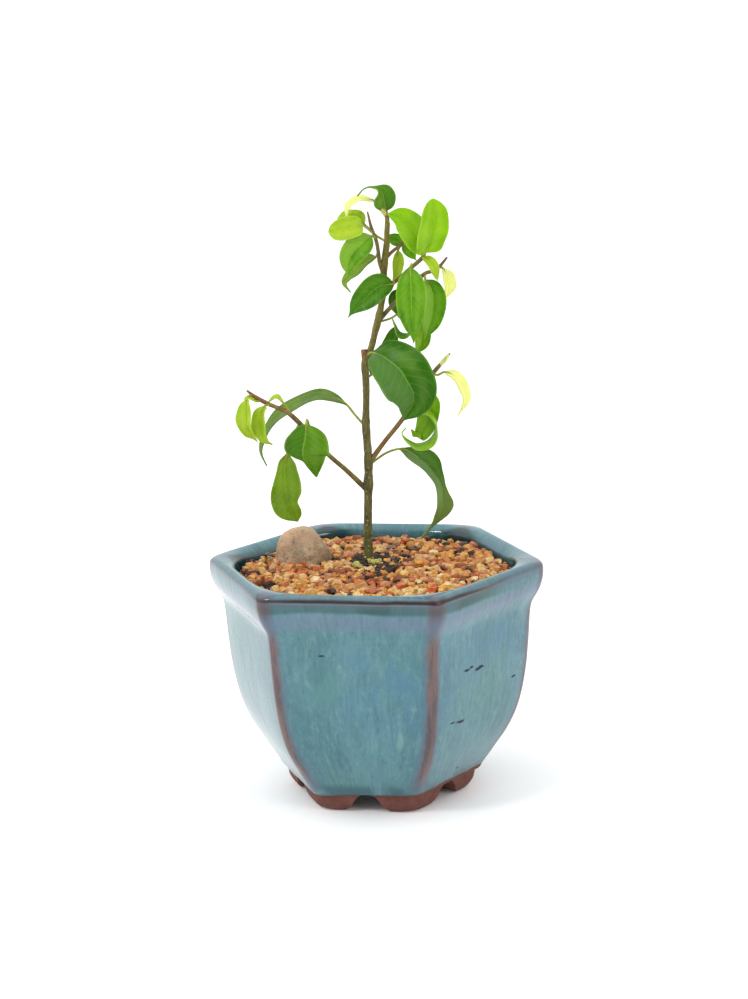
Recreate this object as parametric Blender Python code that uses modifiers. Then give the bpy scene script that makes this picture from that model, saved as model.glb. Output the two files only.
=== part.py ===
"""Small ficus bonsai in a six-sided glazed pot, with soil, gravel, a stone and leafy shoots."""

import math
import random

import bmesh
import bpy
from mathutils import Vector

MM = 0.001  # every row and size below is in millimetres
GAP = 0.3  # air left between two separate pieces

# Pot: reach is the distance from the middle to a rounded corner
SOLE_LEVEL = 3.0  # the soles lie this far below the level that heights are measured from
POT_FLOOR = 10.0
WALL_INSIDE = [  # reach, height, corner rounding
    (34.5, POT_FLOOR, 6.5),
    (38.0, 12.2, 6.5),
    (41.6, 16.8, 7.0),
    (45.0, 23.0, 7.3),
    (47.4, 31.0, 7.5),
    (49.2, 42.0, 7.5),
    (50.5, 60.0, 7.5),
    (51.3, 79.0, 7.5),
]
RIM = [
    (51.3, 82.0, 9.0),
    (52.6, 83.6, 10.0),
    (56.5, 84.4, 8.0),
    (60.4, 83.9, 4.8),
    (61.8, 82.7, 3.8),
    (62.0, 80.4, 3.4),
    (61.4, 76.9, 3.4),
]
WALL_OUTSIDE = [
    (59.6, 72.0, 3.4),
    (57.4, 69.2, 3.4),
    (56.9, 67.0, 3.4),
    (56.3, 56.0, 3.4),
    (55.4, 46.0, 3.4),
    (53.9, 37.0, 3.4),
    (52.1, 30.0, 3.6),
    (49.9, 24.4, 3.8),
    (47.2, 19.4, 4.0),
    (44.2, 15.0, 4.4),
    (38.0, 6.0, 5.2),
]
FOOT_RING = [
    (36.9, 4.3, 5.6),
    (36.0, 2.3, 6.6),
    (34.9, 0.2, 7.6),
    (33.3, -1.6, 8.4),
    (31.6, -2.7, 9.0),
    (30.2, -SOLE_LEVEL, 9.0),
    (26.4, -SOLE_LEVEL, 8.0),
    (25.0, -2.2, 7.0),
    (23.4, 5.2, 5.0),
]
DRAIN_HOLE = [(6.6, 5.6, 5.2), (6.0, POT_FLOOR, 4.8)]
FOOT_ARCH = [  # half width, height
    (13.0, -4.4),
    (9.8, -3.1),
    (8.2, -2.6),
    (6.4, -1.1),
    (5.1, 0.9),
    (4.2, 2.3),
    (2.9, 3.8),
    (1.4, 4.4),
]
ARCH_REACH = (17.0, 45.0)  # from the pot's middle, across a flat side

# Screen over the drain hole
SCREEN_SIDE = 19.0
SCREEN_CELLS = 4
SCREEN_BAR = 1.2
SCREEN_THICK = 0.8

# Soil, gravel and stone
SOIL_INSET = 0.45  # less reach than the wall, which leaves the gap at the flat sides
SOIL_TOP = 75.0
SOIL_TOP_REACH = 51.1
MOUND_FOOT = 12.0
MOUND_CROWN = 6.5
MOUND_TOP = 81.3
MOUND_PLACE = (-1.0, 7.5)
MOUND_SIDES = 22
PEBBLE = 6.0
PEBBLE_INSET = 0.75
GRAVEL_HALF = 56.0  # half the side of the square that the bed is cut from
GRAVEL_EDGE_LEVEL = 79.4
GRAVEL_RISE = 1.4
CLEARANCE = 1.3 * GAP  # round a cut-out with sloping sides
STONE_SIDES = 15
STONE_ROWS = [  # middle across, middle deep, half across, half deep, height
    (-25.6, 12.5, 9.4, 6.8, 77.0),
    (-26.0, 12.5, 10.6, 7.8, 80.0),
    (-26.2, 12.5, 10.3, 7.8, 83.0),
    (-26.5, 12.5, 9.7, 7.4, 85.5),
    (-27.2, 12.6, 8.5, 6.7, 88.0),
    (-27.4, 12.7, 6.9, 5.6, 90.5),
    (-27.2, 12.8, 5.2, 4.4, 92.2),
    (-26.6, 12.8, 3.2, 2.8, 93.3),
]

# The plant is set by the viewer's right, depth and height, turned this far in the pot
PLANT_TURN = math.radians(10)
BLADE = 0.7  # leaf thickness
LEAST_HALF = 0.32  # half width of a blade where it is narrowest
FOLD_FADES_BELOW = 2.5  # a blade's fold flattens out where its half width is under this
STALK = 0.45  # leaf stalk radius
STALK_SUNK = 0.14  # how far up the blade its stalk runs

TRUNK = [  # right, deep, height, radius
    (-2.0, 10.0, 60.0, 1.7),
    (-2.0, 10.0, 72.0, 2.0),
    (-2.0, 10.0, 80.0, 2.0),
    (-2.0, 10.0, 83.5, 1.75),
    (-2.0, 10.0, 92.5, 1.65),
    (-1.5, 9.5, 105.0, 1.55),
    (-1.3, 9.3, 109.5, 1.95),
    (-1.1, 9.1, 114.0, 1.5),
    (-1.0, 9.0, 118.5, 1.75),
    (-1.1, 8.8, 123.0, 1.4),
    (-1.5, 8.1, 132.0, 1.55),
    (-1.3, 7.8, 137.0, 1.3),
    (-1.0, 7.5, 143.5, 1.25),
    (-1.0, 7.1, 150.0, 1.35),
    (-1.0, 7.0, 155.5, 1.4),
    (1.2, 7.0, 160.5, 1.2),
    (3.0, 6.5, 167.0, 1.2),
    (4.4, 6.1, 172.0, 1.4),
    (5.4, 6.0, 176.5, 1.15),
    (6.5, 6.0, 182.0, 1.35),
    (6.6, 5.6, 187.5, 1.25),
    (7.2, 5.2, 193.0, 1.2),
    (8.0, 5.0, 198.5, 1.1),
    (8.2, 4.8, 202.5, 1.0),
    (8.5, 4.6, 205.7, 0.95),
]
CUT_STUB = [(-0.9, 7.0, 155.0, 1.0), (-1.2, 7.0, 159.8, 0.9)]

# Half widths of a blade from stalk to tip, as shares of its widest
OUTLINES = {
    "ovate": [(0, 0.1), (0.06, 0.45), (0.16, 0.8), (0.32, 1), (0.5, 0.97), (0.66, 0.78),
              (0.8, 0.48), (0.89, 0.2), (0.95, 0.08), (1, 0.03)],
    "oval": [(0, 0.1), (0.06, 0.4), (0.18, 0.78), (0.38, 1), (0.6, 0.95), (0.78, 0.68),
             (0.9, 0.36), (0.96, 0.16), (1, 0.05)],
    "long": [(0, 0.1), (0.08, 0.5), (0.22, 0.88), (0.4, 1), (0.58, 0.9), (0.72, 0.62),
             (0.84, 0.3), (0.92, 0.12), (1, 0.03)],
    "heart": [(0, 0.1), (0.06, 0.45), (0.18, 0.8), (0.34, 1), (0.46, 0.92), (0.55, 0.45),
              (0.62, 0.12), (0.8, 0.07), (1, 0.03)],
    "late": [(0, 0.1), (0.12, 0.35), (0.28, 0.5), (0.45, 0.8), (0.6, 1), (0.75, 0.95),
             (0.88, 0.6), (0.95, 0.3), (1, 0.05)],
    "wavy": [(0, 0.1), (0.1, 0.65), (0.25, 0.85), (0.42, 1), (0.56, 0.95), (0.7, 0.62),
             (0.84, 0.6), (0.94, 0.4), (1, 0.05)],
    "narrow": [(0, 0.1), (0.08, 0.5), (0.2, 0.52), (0.35, 0.46), (0.5, 0.52), (0.65, 0.56),
               (0.75, 0.42), (0.85, 0.15), (1, 0.05)],
    "waisted": [(0, 0.1), (0.08, 0.45), (0.2, 0.95), (0.3, 0.92), (0.4, 0.5), (0.48, 0.32),
                (0.56, 0.48), (0.64, 0.74), (0.72, 0.55), (0.8, 0.28), (0.86, 0.12), (1, 0.05)],
    "taper": [(0, 0.07), (0.08, 0.3), (0.18, 0.6), (0.3, 0.85), (0.45, 1), (0.62, 0.98),
              (0.78, 0.78), (0.9, 0.45), (0.96, 0.22), (1, 0.05)],
    "drip": [(0, 0.1), (0.06, 0.5), (0.15, 0.85), (0.28, 1), (0.4, 0.88), (0.5, 0.58),
             (0.6, 0.28), (0.7, 0.14), (0.85, 0.08), (1, 0.04)],
    "round": [(0, 0.12), (0.05, 0.55), (0.15, 0.88), (0.35, 1), (0.6, 1), (0.8, 0.8),
              (0.92, 0.5), (0.98, 0.2), (1, 0.06)],
}


def leaf_row(stalk, rib, half, side, fold, curl, outline, colour, other=None, more=(1, 1), stations=8):
    """One leaf: side gives the way its first half points, at the stalk and at the tip."""
    return {
        "stalk": stalk,
        "rib": rib,
        "half": half,
        "side": side,
        "fold": fold,
        "curl": curl,
        "outlines": (outline, other or outline),
        "widths": more,
        "colour": colour,
        "stations": stations,
    }


LEAVES = {
    "left_broad": leaf_row(
        [(-21.5, 5, 130), (-22.5, 1.5, 136)],
        [(-23, -1.5, 135), (-23.5, -3, 130.5), (-24.5, -3.5, 126), (-24, -3, 122), (-20, -1, 115.5)],
        8.6, ((-1, 0, 0.2), (-0.8, 0, -0.5)), 14, 12, "heart", "leaf_green", "oval", (0.82, 1.2), 11),
    "left_low": leaf_row(
        [(-25.5, 4, 134.5), (-28, 3, 130)],
        [(-30, 1, 124), (-31.5, 0.5, 119.5), (-31.5, 0, 113.5), (-30.5, 0.5, 105), (-27.5, 2, 98.5)],
        6.0, ((-1, 0.1, 0.3), (-0.9, 0, -0.4)), 5, 15, "late", "leaf_green", "wavy", (1, 1), 11),
    "left_end": leaf_row(
        [(-42, 2, 146), (-43, 1.5, 145.5)],
        [(-44, 0.5, 144.5), (-44, -1, 140), (-44, -1, 135.5), (-42.5, 1, 131), (-41, 2.5, 128.5)],
        4.1, ((-0.8, 0.6, -0.1), (-0.5, 0.4, -0.1)), 28, 10, "ovate", "leaf_young"),
    "left_middle": leaf_row(
        [(-35.5, 2.5, 142), (-37, 1.5, 142)],
        [(-37.5, 0.5, 142), (-39, -1.5, 138.5), (-39, -1.5, 133.5), (-38, -0.5, 129.5), (-35.5, 1, 127.5)],
        3.6, ((-0.7, 0.5, 0), (-0.4, 0.3, -0.3)), 26, 10, "long", "leaf_young"),
    "left_upturned": leaf_row(
        [(-28.5, 3.5, 138), (-30, 3.5, 140.5)],
        [(-31, 4, 142), (-33, 5, 144), (-34.5, 5.5, 144), (-36.5, 5, 142.5)],
        1.7, ((0, 1, 0.2), (0, 1, 0.3)), 10, 0, "oval", "leaf_young", stations=7),
    "left_bud": leaf_row(
        [(-38, 2.5, 143.5), (-39.5, 2, 143.5)],
        [(-40.5, 1.5, 143.5), (-43, 1, 145), (-45, 0.5, 144.5)],
        1.4, ((0, 1, 0.3), (0, 1, 0.3)), 10, 0, "round", "leaf_young", stations=6),
    "long_left": leaf_row(
        [(-1.5, 8, 131.5), (-5.5, 10, 136)],
        [(-8.5, 12, 139.5), (-12.5, 13.5, 141.5), (-18, 15, 142.5), (-24, 16, 141), (-30, 16, 138),
         (-35, 15.5, 134), (-39, 15, 128.5), (-40.5, 14, 122.5), (-38.5, 13.5, 117)],
        5.3, ((0, 1, 0.3), (-0.4, 0.9, 0)), 0, 8, "long", "leaf_green", stations=15),
    "long_right": leaf_row(
        [(-1, 9, 117), (5.5, 11, 121)],
        [(11, 13, 122), (15, 14.5, 120), (18, 16, 117.5), (20.5, 17.5, 115), (23, 19, 111.5),
         (25.5, 20.5, 107.5), (26.5, 22.5, 102), (26.5, 25, 96.5), (24.5, 27, 92), (22, 28.5, 88.5),
         (18, 30, 83.5)],
        5.2, ((-0.5, -0.3, -0.8), (-0.8, -0.3, 0.6)), 10, 5, "narrow", "leaf_green", "waisted", (1, 1), 17),
    "right_curled": leaf_row(
        [(11.5, 6, 134), (14.5, 6, 135)],
        [(17.5, 6, 136), (21, 6.5, 136.5), (24, 7, 133), (24, 7, 128.5), (21.5, 6.5, 125),
         (17, 5.5, 124), (13.5, 4.5, 126.5), (11.5, 4, 129.5), (13, 4, 131.5)],
        3.6, ((0, -1, -0.3), (0, -1, -0.3)), 0, 0, "long", "leaf_green", stations=15),
    "right_inner": leaf_row(
        [(18, 5, 143.5), (20, 6.5, 145)],
        [(22, 8, 144.5), (22.5, 10, 139.5), (21.5, 10.5, 135), (20, 10.5, 130), (17.5, 9.5, 127),
         (15, 8.5, 130)],
        3.9, ((-1, 0, -0.1), (-0.9, 0.2, 0.3)), 8, 10, "oval", "leaf_young", stations=11),
    "right_pale": leaf_row(
        [(23.5, 4, 151), (25, 4.5, 150.5)],
        [(27.5, 5, 151.5), (31.5, 6, 149.5), (34.5, 7, 144.5), (35, 7, 140), (32, 6, 135)],
        2.8, ((-0.4, -0.8, -0.5), (-0.7, -0.6, 0.2)), 8, 0, "long", "leaf_pale"),
    "front_broad": leaf_row(
        [(-0.5, 7, 157.5), (0.5, 5.5, 159)],
        [(1.5, 4, 159.5), (4.5, -2, 159.5), (8, -5.5, 157.5), (11.5, -8, 154.5), (13.5, -9, 151),
         (15.5, -9, 147), (15.5, -7.5, 142.5), (12.5, -5, 136.5)],
        9.8, ((-0.6, -0.2, -0.8), (-0.8, -0.1, 0)), 5, 12, "taper", "leaf_green", stations=11),
    "behind_trunk": leaf_row(
        [(-1, 7.2, 149.5), (0, 8, 150.2)],
        [(1, 9, 150.5), (4.5, 11, 155), (8, 11.5, 160.5), (10, 11, 167.5)],
        3.0, ((0.8, -0.3, -0.5), (0.9, -0.2, -0.3)), 10, 0, "round", "leaf_green", stations=8),
    "upper_pale": leaf_row(
        [(25.5, 9, 188), (27, 8.5, 189)],
        [(28, 7.5, 188.5), (29, 7, 185.5), (29.5, 7, 182), (29, 8, 178)],
        3.2, ((-0.8, -0.6, 0), (-0.8, -0.6, 0)), 26, 10, "oval", "leaf_pale"),
    "upper_right": leaf_row(
        [(21, 9, 186.5), (21.5, 8.5, 185.5)],
        [(21.5, 8, 184.5), (23.5, 6, 181.5), (24, 4.5, 177.5), (23.5, 4, 172), (22, 4, 167), (20.5, 5, 163)],
        4.7, ((-0.8, -0.2, -0.4), (-0.9, -0.1, 0.3)), 6, 15, "ovate", "leaf_green"),
    "upper_right_low": leaf_row(
        [(15, 8.5, 181), (17.5, 9, 176)],
        [(19.5, 9, 170), (20, 9, 165.5), (19.5, 9, 161.5), (17.5, 9, 158)],
        3.1, ((-1, -0.1, -0.1), (-0.9, -0.2, 0.5)), 8, 15, "oval", "leaf_green", stations=8),
    "rolled": leaf_row(
        [(3.7, 6.4, 170), (8.5, 5, 171.5)],
        [(11, 4, 173), (13.5, 1.5, 172), (15, 1, 169.5), (14.5, 0.5, 166.5), (11.5, 0, 166.5),
         (9, 0, 172.5)],
        2.4, ((0, -0.9, -0.4), (-0.4, -0.8, -0.2)), 8, 0, "long", "leaf_green", stations=12),
    "upper_right_small": leaf_row(
        [(15, 8.5, 181), (14.5, 9.5, 181)],
        [(14, 10, 180), (11, 12, 178), (10.5, 12, 175), (11, 11.5, 171.5)],
        2.7, ((-0.4, 0.3, 0.7), (-1, 0.2, -0.2)), 8, 10, "ovate", "leaf_green", stations=8),
    "crossing_trunk": leaf_row(
        [(9.5, 4.3, 184), (10, 2, 185)],
        [(10, -0.5, 184.5), (4.5, -3, 184), (0, -4, 180.5), (-3.5, -4, 177.5), (-6.5, -3, 173.5)],
        4.9, ((-0.2, 0.2, 0.8), (-0.7, 0.2, 0.6)), 8, 12, "ovate", "leaf_green"),
    "upper_middle": leaf_row(
        [(16.5, 1.5, 190), (16.5, -1.5, 191.5)],
        [(16, -3.5, 190.5), (16, -5.5, 183), (16, -4.5, 174), (16.5, -2.5, 163.5)],
        6.1, ((-1, 0, 0), (-1, 0, 0)), 10, 15, "ovate", "leaf_green"),
    "top_leaning": leaf_row(
        [(21, 0, 194), (20.5, -0.5, 194)],
        [(20.5, -1.5, 194.5), (19, -3, 200), (17, -3.5, 204), (13.5, -3, 208), (8.5, -1.5, 209.5)],
        5.3, ((0.9, 0.1, 0.3), (0.3, 0.2, 0.9)), 8, 15, "oval", "leaf_young"),
    "top_upright": leaf_row(
        [(21, 0, 194.5), (21.5, -0.5, 195)],
        [(21.5, -1, 195.5), (23, -4, 201), (24.5, -5, 208), (24.5, -4, 214.5)],
        5.8, ((0.8, 0.3, 0), (0.9, 0.3, -0.1)), 18, 8, "round", "leaf_young"),
    "top_small": leaf_row(
        [(20.5, 0.5, 193.5), (20.5, -0.5, 193.5)],
        [(20.5, -1, 194), (23, -3, 192.5), (24.5, -3.5, 190), (25.5, -2.5, 185.5)],
        1.9, ((-0.6, -0.4, -0.5), (-0.9, -0.3, -0.3)), 12, 0, "oval", "leaf_pale", stations=7),
    "twig_right": leaf_row(
        [(12.5, 8, 197), (13.5, 8.7, 197.8)],
        [(14, 9, 198), (16, 9.5, 195), (18.5, 9, 191.5)],
        2.1, ((-0.8, -0.2, -0.6), (-0.8, -0.2, -0.6)), 8, 0, "ovate", "leaf_green", stations=7),
    "twig_hanging": leaf_row(
        [(13.5, 8.5, 197.5), (12.5, 8.5, 196.5)],
        [(12, 8, 195.5), (11.5, 8.5, 191.5), (11, 8.5, 187.5), (9.5, 8.5, 184)],
        2.6, ((-1, -0.1, 0.1), (-0.9, 0, 0.3)), 10, 10, "ovate", "leaf_young", None, (0.6, 1), 7),
    "twig_left": leaf_row(
        [(12.5, 8, 197), (13.5, 8.7, 197.8)],
        [(14, 9, 198), (11.5, 9.5, 199), (8, 9, 200.5)],
        2.3, ((0.5, 0.4, 0.8), (0.3, 0.4, 0.8)), 8, 0, "oval", "leaf_green", stations=7),
    "leader_outer": leaf_row(
        [(3.5, 4, 202), (1.5, 3, 204)],
        [(-0.5, 2, 205.5), (-4.5, 0, 205), (-9, 0, 204), (-12.5, 1, 203.5)],
        4.0, ((-0.3, 0.2, 0.8), (-0.1, 0.1, 1)), 5, 15, "round", "leaf_young"),
    "crown_side": leaf_row(
        [(8, 5, 199), (4.5, 7, 201), (2, 7, 203.5)],
        [(0, 6, 205.5), (-1.5, 7, 208), (-5, 7.5, 208.5), (-7.5, 7, 207.5), (-9, 6, 206)],
        2.6, ((0, 0.8, 0.5), (0, 0.8, 0.5)), 8, 10, "round", "leaf_young", stations=8),
    "leader_broad": leaf_row(
        [(4, 4.2, 200.5), (3.5, 3, 201)],
        [(2.5, 2.5, 201.5), (-1, 0, 199), (-4.5, -1, 195.5), (-6, -1, 191.5), (-6, 0, 187.5)],
        4.7, ((-0.6, 0.2, 0.7), (-1, 0.1, 0.1)), 8, 12, "ovate", "leaf_green"),
    "leader_narrow": leaf_row(
        [(4.9, 4.7, 195.5), (4.6, 6, 195)],
        [(4, 7, 193.5), (0.5, 8.5, 192), (-4, 9, 188), (-7.5, 8.5, 184.5), (-5.5, 7.5, 181)],
        3.2, ((-0.4, 0.8, 0.4), (-0.6, 0.8, 0.1)), 8, 5, "long", "leaf_green"),
    "crown_hooked": leaf_row(
        [(8.4, 4.6, 207), (8, 4.5, 209)],
        [(8, 4.5, 210), (7.5, 3, 213.5), (6.5, 2.5, 217), (3.5, 3, 218.5), (0.5, 3.5, 218),
         (-2, 3.5, 215.5)],
        4.4, ((1, -0.1, 0), (-0.3, 1, 0.1)), 14, 15, "drip", "leaf_green", stations=12),
    "crown_pale": leaf_row(
        [(8.4, 4.6, 207.5), (6, 5.5, 210.5)],
        [(4, 6, 213.5), (-0.5, 6, 214.5), (-3.5, 5.5, 213.5), (-5.5, 4.5, 211.5), (-6, 3.3, 208)],
        2.2, ((0, 0.9, 0.4), (-0.3, 0.8, 0.3)), 5, 10, "oval", "leaf_pale", stations=8),
}

# Woody stems of the leafy shoots, each starting inside the trunk
SHOOTS = {
    "left_branch": (
        [(-1.3, 9.5, 107, 1.0), (-4, 9.4, 110, 1.0), (-9.5, 8, 116, 0.9), (-15.5, 6.5, 122, 0.85),
         (-21.5, 5, 129.5, 0.85), (-25.5, 4, 134.5, 0.95), (-30, 3, 139, 0.85), (-36, 2.5, 142, 0.8),
         (-41, 2.1, 145, 0.75), (-44, 2, 147.5, 0.35)],
        ["left_broad", "left_low", "left_end", "left_middle", "left_upturned", "left_bud"]),
    "right_branch": (
        [(-1, 9.2, 117.5, 1.0), (1.5, 8.8, 121, 0.95), (5.5, 7.5, 126.5, 0.85), (11.5, 6, 134, 0.85),
         (18, 5, 143.5, 0.85), (23.5, 4, 151.5, 0.8), (27.5, 3.3, 156, 0.7), (29.5, 3, 158.5, 0.35)],
        ["right_curled", "right_inner", "right_pale"]),
    "upper_right_branch": (
        [(4.4, 6.2, 170.8, 0.9), (6.5, 6.4, 173, 0.85), (9, 7, 175.5, 0.8), (15, 8.5, 181, 0.8),
         (21, 9, 186.5, 0.75), (24, 9, 187.5, 0.7), (26.5, 8.5, 189, 0.65), (29.5, 8, 192.5, 0.35)],
        ["upper_pale", "upper_right", "upper_right_low", "upper_right_small"]),
    "upper_branch": (
        [(6.5, 6, 181.5, 0.8), (9.5, 4.3, 184, 0.75), (12.5, 3, 186.5, 0.75), (16.5, 1.5, 190, 0.75),
         (20, 0.5, 193, 0.75), (21.4, -0.2, 195, 0.5)],
        ["upper_middle", "crossing_trunk", "top_leaning", "top_upright", "top_small"]),
    "small_twig": (
        [(7.2, 5.2, 192.5, 0.65), (9.5, 6.3, 195, 0.65), (12.5, 8, 197, 0.6), (14.3, 9.2, 198.4, 0.5)],
        ["twig_right", "twig_hanging", "twig_left"]),
    "left_leader": (
        [(6.5, 5.5, 187.5, 0.75), (5.3, 5.1, 191.5, 0.75), (4.9, 4.7, 195.5, 0.7), (4.4, 4.4, 199, 0.7),
         (3.5, 4, 202, 0.65), (2.5, 4, 205, 0.55), (1.5, 3.5, 210, 0.3)],
        ["leader_outer", "leader_broad", "leader_narrow"]),
    "crown_shoot": (
        [(8.3, 4.7, 204.5, 0.9), (8.4, 4.6, 207.3, 0.85), (8, 4.5, 210, 0.6)],
        ["crown_hooked", "crown_pale"]),
}
# Leaves whose stalks spring straight from the trunk
TRUNK_LEAVES = {
    "long_left_leaf": "long_left",
    "long_right_leaf": "long_right",
    "front_leaf": "front_broad",
    "back_leaf": "behind_trunk",
    "rolled_leaf": "rolled",
    "crown_side_leaf": "crown_side",
}

COLOURS = {  # red, green, blue, roughness
    "glaze": (0.11, 0.27, 0.30, 0.18),
    "screen": (0.03, 0.03, 0.03, 0.6),
    "soil": (0.03, 0.022, 0.017, 0.95),
    "gravel": (0.42, 0.24, 0.12, 0.85),
    "stone": (0.36, 0.27, 0.19, 0.9),
    "bark": (0.14, 0.10, 0.05, 0.75),
    "leaf_green": (0.07, 0.19, 0.02, 0.35),
    "leaf_young": (0.30, 0.45, 0.04, 0.35),
    "leaf_pale": (0.60, 0.62, 0.22, 0.4),
}

draw = random.Random(7)


def clear_scene():
    for item in list(bpy.data.objects):
        bpy.data.objects.remove(item)


def new_collection(name, parent=None):
    collection = bpy.data.collections.new(name)
    (parent or bpy.context.scene.collection).children.link(collection)
    return collection


def material(name):
    found = bpy.data.materials.get(name)
    if found:
        return found
    red, green, blue, roughness = COLOURS[name]
    made = bpy.data.materials.new(name)
    made.use_nodes = True
    shader = made.node_tree.nodes["Principled BSDF"]
    shader.inputs["Base Color"].default_value = (red, green, blue, 1)
    shader.inputs["Roughness"].default_value = roughness
    return made


def add_object(name, mesh, collection, colour=None):
    made = bpy.data.objects.new(name, mesh)
    collection.objects.link(made)
    if colour:
        mesh.materials.clear()
        mesh.materials.append(material(colour))
    return made


def mesh_from(work, name):
    bmesh.ops.recalc_face_normals(work, faces=work.faces)
    mesh = bpy.data.meshes.new(name)
    work.to_mesh(mesh)
    work.free()
    return mesh


def place(right, deep, height):
    """A point of the plant, turned into the pot's own directions."""
    turn_cos = math.cos(PLANT_TURN)
    turn_sin = math.sin(PLANT_TURN)
    return Vector((right * turn_cos - deep * turn_sin, right * turn_sin + deep * turn_cos, height)) * MM


def hexagon_ring(reach, height, rounding):
    """Six rounded corners, one of them on +X, each an arc between two flat sides."""
    centre = reach - rounding
    ring = []
    for corner in range(6):
        middle = math.radians(60 * corner)
        for step in (-30, -10, 10, 30):
            angle = middle + math.radians(step)
            across = centre * math.cos(middle) + rounding * math.cos(angle)
            along = centre * math.sin(middle) + rounding * math.sin(angle)
            ring.append(Vector((across, along, height)) * MM)
    return ring


def loft(name, rings, joined_round, collection, colour=None):
    """Skin over rings of equal counts, joined end to start or capped at both ends."""
    work = bmesh.new()
    rows = [[work.verts.new(point) for point in ring] for ring in rings]
    pairs = list(zip(rows, rows[1:]))
    if joined_round:
        pairs.append((rows[-1], rows[0]))
    for low, high in pairs:
        for i in range(len(low)):
            j = (i + 1) % len(low)
            work.faces.new((low[i], low[j], high[j], high[i]))
    if not joined_round:
        work.faces.new(rows[0])
        work.faces.new(rows[-1])
    return add_object(name, mesh_from(work, name), collection, colour)


def boolean(target, operation, other=None, group=None):
    cut = target.modifiers.new(operation.lower(), "BOOLEAN")
    cut.operation = operation
    cut.solver = "EXACT"
    cut.material_mode = "TRANSFER"
    cut.use_self = operation == "UNION"
    if group:
        cut.operand_type = "COLLECTION"
        cut.collection = group
    else:
        cut.object = other
    return cut


def apply_modifier(target, modifier):
    bpy.context.view_layer.objects.active = target
    bpy.ops.object.modifier_apply(modifier=modifier.name)


def fuse(target, group):
    """Unites everything in the group with the target, then removes the group."""
    apply_modifier(target, boolean(target, "UNION", group=group))
    for piece in list(group.objects):
        bpy.data.objects.remove(piece)
    bpy.data.collections.remove(group)


def hide_cutter(cutter):
    cutter.hide_render = True
    cutter.display_type = "WIRE"


def tube(name, rows, bevel_steps, collection, colour, extra=0.0):
    """Round stem through rows of right, deep, height and radius."""
    data = bpy.data.curves.new(name, "CURVE")
    data.dimensions = "3D"
    data.bevel_depth = MM
    data.bevel_resolution = bevel_steps
    data.use_fill_caps = True
    spline = data.splines.new("POLY")
    spline.points.add(len(rows) - 1)
    for point, (right, deep, height, radius) in zip(spline.points, rows):
        point.co = (*place(right, deep, height), 1)
        point.radius = radius + extra
    path = add_object(name + "_path", data, collection)
    bpy.context.view_layer.update()
    graph = bpy.context.evaluated_depsgraph_get()
    mesh = bpy.data.meshes.new_from_object(path.evaluated_get(graph))
    bpy.data.objects.remove(path)
    work = bmesh.new()
    work.from_mesh(mesh)
    bmesh.ops.remove_doubles(work, verts=work.verts, dist=0.01 * MM)
    return add_object(name, mesh_from(work, name), collection, colour)


def make_pot(parts, cutters):
    inside = [hexagon_ring(*row) for row in WALL_INSIDE]
    outside = [hexagon_ring(*row) for row in RIM + WALL_OUTSIDE + FOOT_RING + DRAIN_HOLE]
    pot = loft("pot", inside + outside, True, parts, "glaze")
    arches = new_collection("arch_cutters", cutters)
    outline = FOOT_ARCH + [(-half, height) for half, height in reversed(FOOT_ARCH)]
    for side in range(6):
        angle = math.radians(60 * side + 30)
        out = Vector((math.cos(angle), math.sin(angle), 0))
        across = Vector((-math.sin(angle), math.cos(angle), 0))
        rings = [[(out * reach + across * half + Vector((0, 0, height))) * MM for half, height in outline]
                 for reach in ARCH_REACH]
        hide_cutter(loft("foot_arch_cutter", rings, False, arches))
    boolean(pot, "DIFFERENCE", group=arches)
    return pot


def move_to(item, collection):
    for old in list(item.users_collection):
        old.objects.unlink(item)
    collection.objects.link(item)


def make_screen(parts):
    """Plastic mesh square that keeps soil off the drain hole."""
    work = bmesh.new()
    bmesh.ops.create_grid(work, x_segments=SCREEN_CELLS, y_segments=SCREEN_CELLS, size=SCREEN_SIDE / 2 * MM)
    bmesh.ops.translate(work, verts=work.verts, vec=(0, 0, (POT_FLOOR + GAP) * MM))
    cells = list(work.faces)
    bmesh.ops.inset_individual(work, faces=cells, thickness=SCREEN_BAR / 2 * MM)
    bmesh.ops.delete(work, geom=cells, context="FACES")
    screen = add_object("drain_screen", mesh_from(work, "drain_screen"), parts, "screen")
    thick = screen.modifiers.new("thickness", "SOLIDIFY")
    thick.thickness = SCREEN_THICK * MM
    thick.offset = 1
    return screen


def make_soil(parts, cutters):
    rings = [hexagon_ring(reach - SOIL_INSET, height + GAP, rounding - GAP)
             for reach, height, rounding in WALL_INSIDE[:-1]]
    top_rounding = WALL_INSIDE[-1][2] - GAP
    rings.append(hexagon_ring(SOIL_TOP_REACH - SOIL_INSET, SOIL_TOP, top_rounding))
    soil = loft("soil", rings, False, parts, "soil")
    mound = new_collection("mound_pieces")
    mound_rings = [mound_ring(MOUND_FOOT, SOIL_TOP - 1), mound_ring(MOUND_CROWN, MOUND_TOP)]
    loft("mound", mound_rings, False, mound, "soil")
    fuse(soil, mound)
    right, deep, foot, _ = TRUNK[0]
    hole_radius = max(row[3] for row in TRUNK[:3]) + GAP
    stem_hole = tube("stem_hole_cutter",
                     [(right, deep, foot - GAP, hole_radius), (right, deep, MOUND_TOP + 10, hole_radius)],
                     4, cutters, None)
    pocket_top = POT_FLOOR + SCREEN_THICK + 2 * GAP
    pocket_side = SCREEN_SIDE + 2 * GAP
    bpy.ops.mesh.primitive_cube_add(size=1, location=(0, 0, pocket_top / 2 * MM))
    pocket = bpy.context.object
    pocket.name = "screen_pocket_cutter"
    pocket.scale = (pocket_side * MM, pocket_side * MM, pocket_top * MM)
    move_to(pocket, cutters)
    for cutter in (stem_hole, pocket):
        hide_cutter(cutter)
        boolean(soil, "DIFFERENCE", other=cutter)
    return soil


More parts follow.
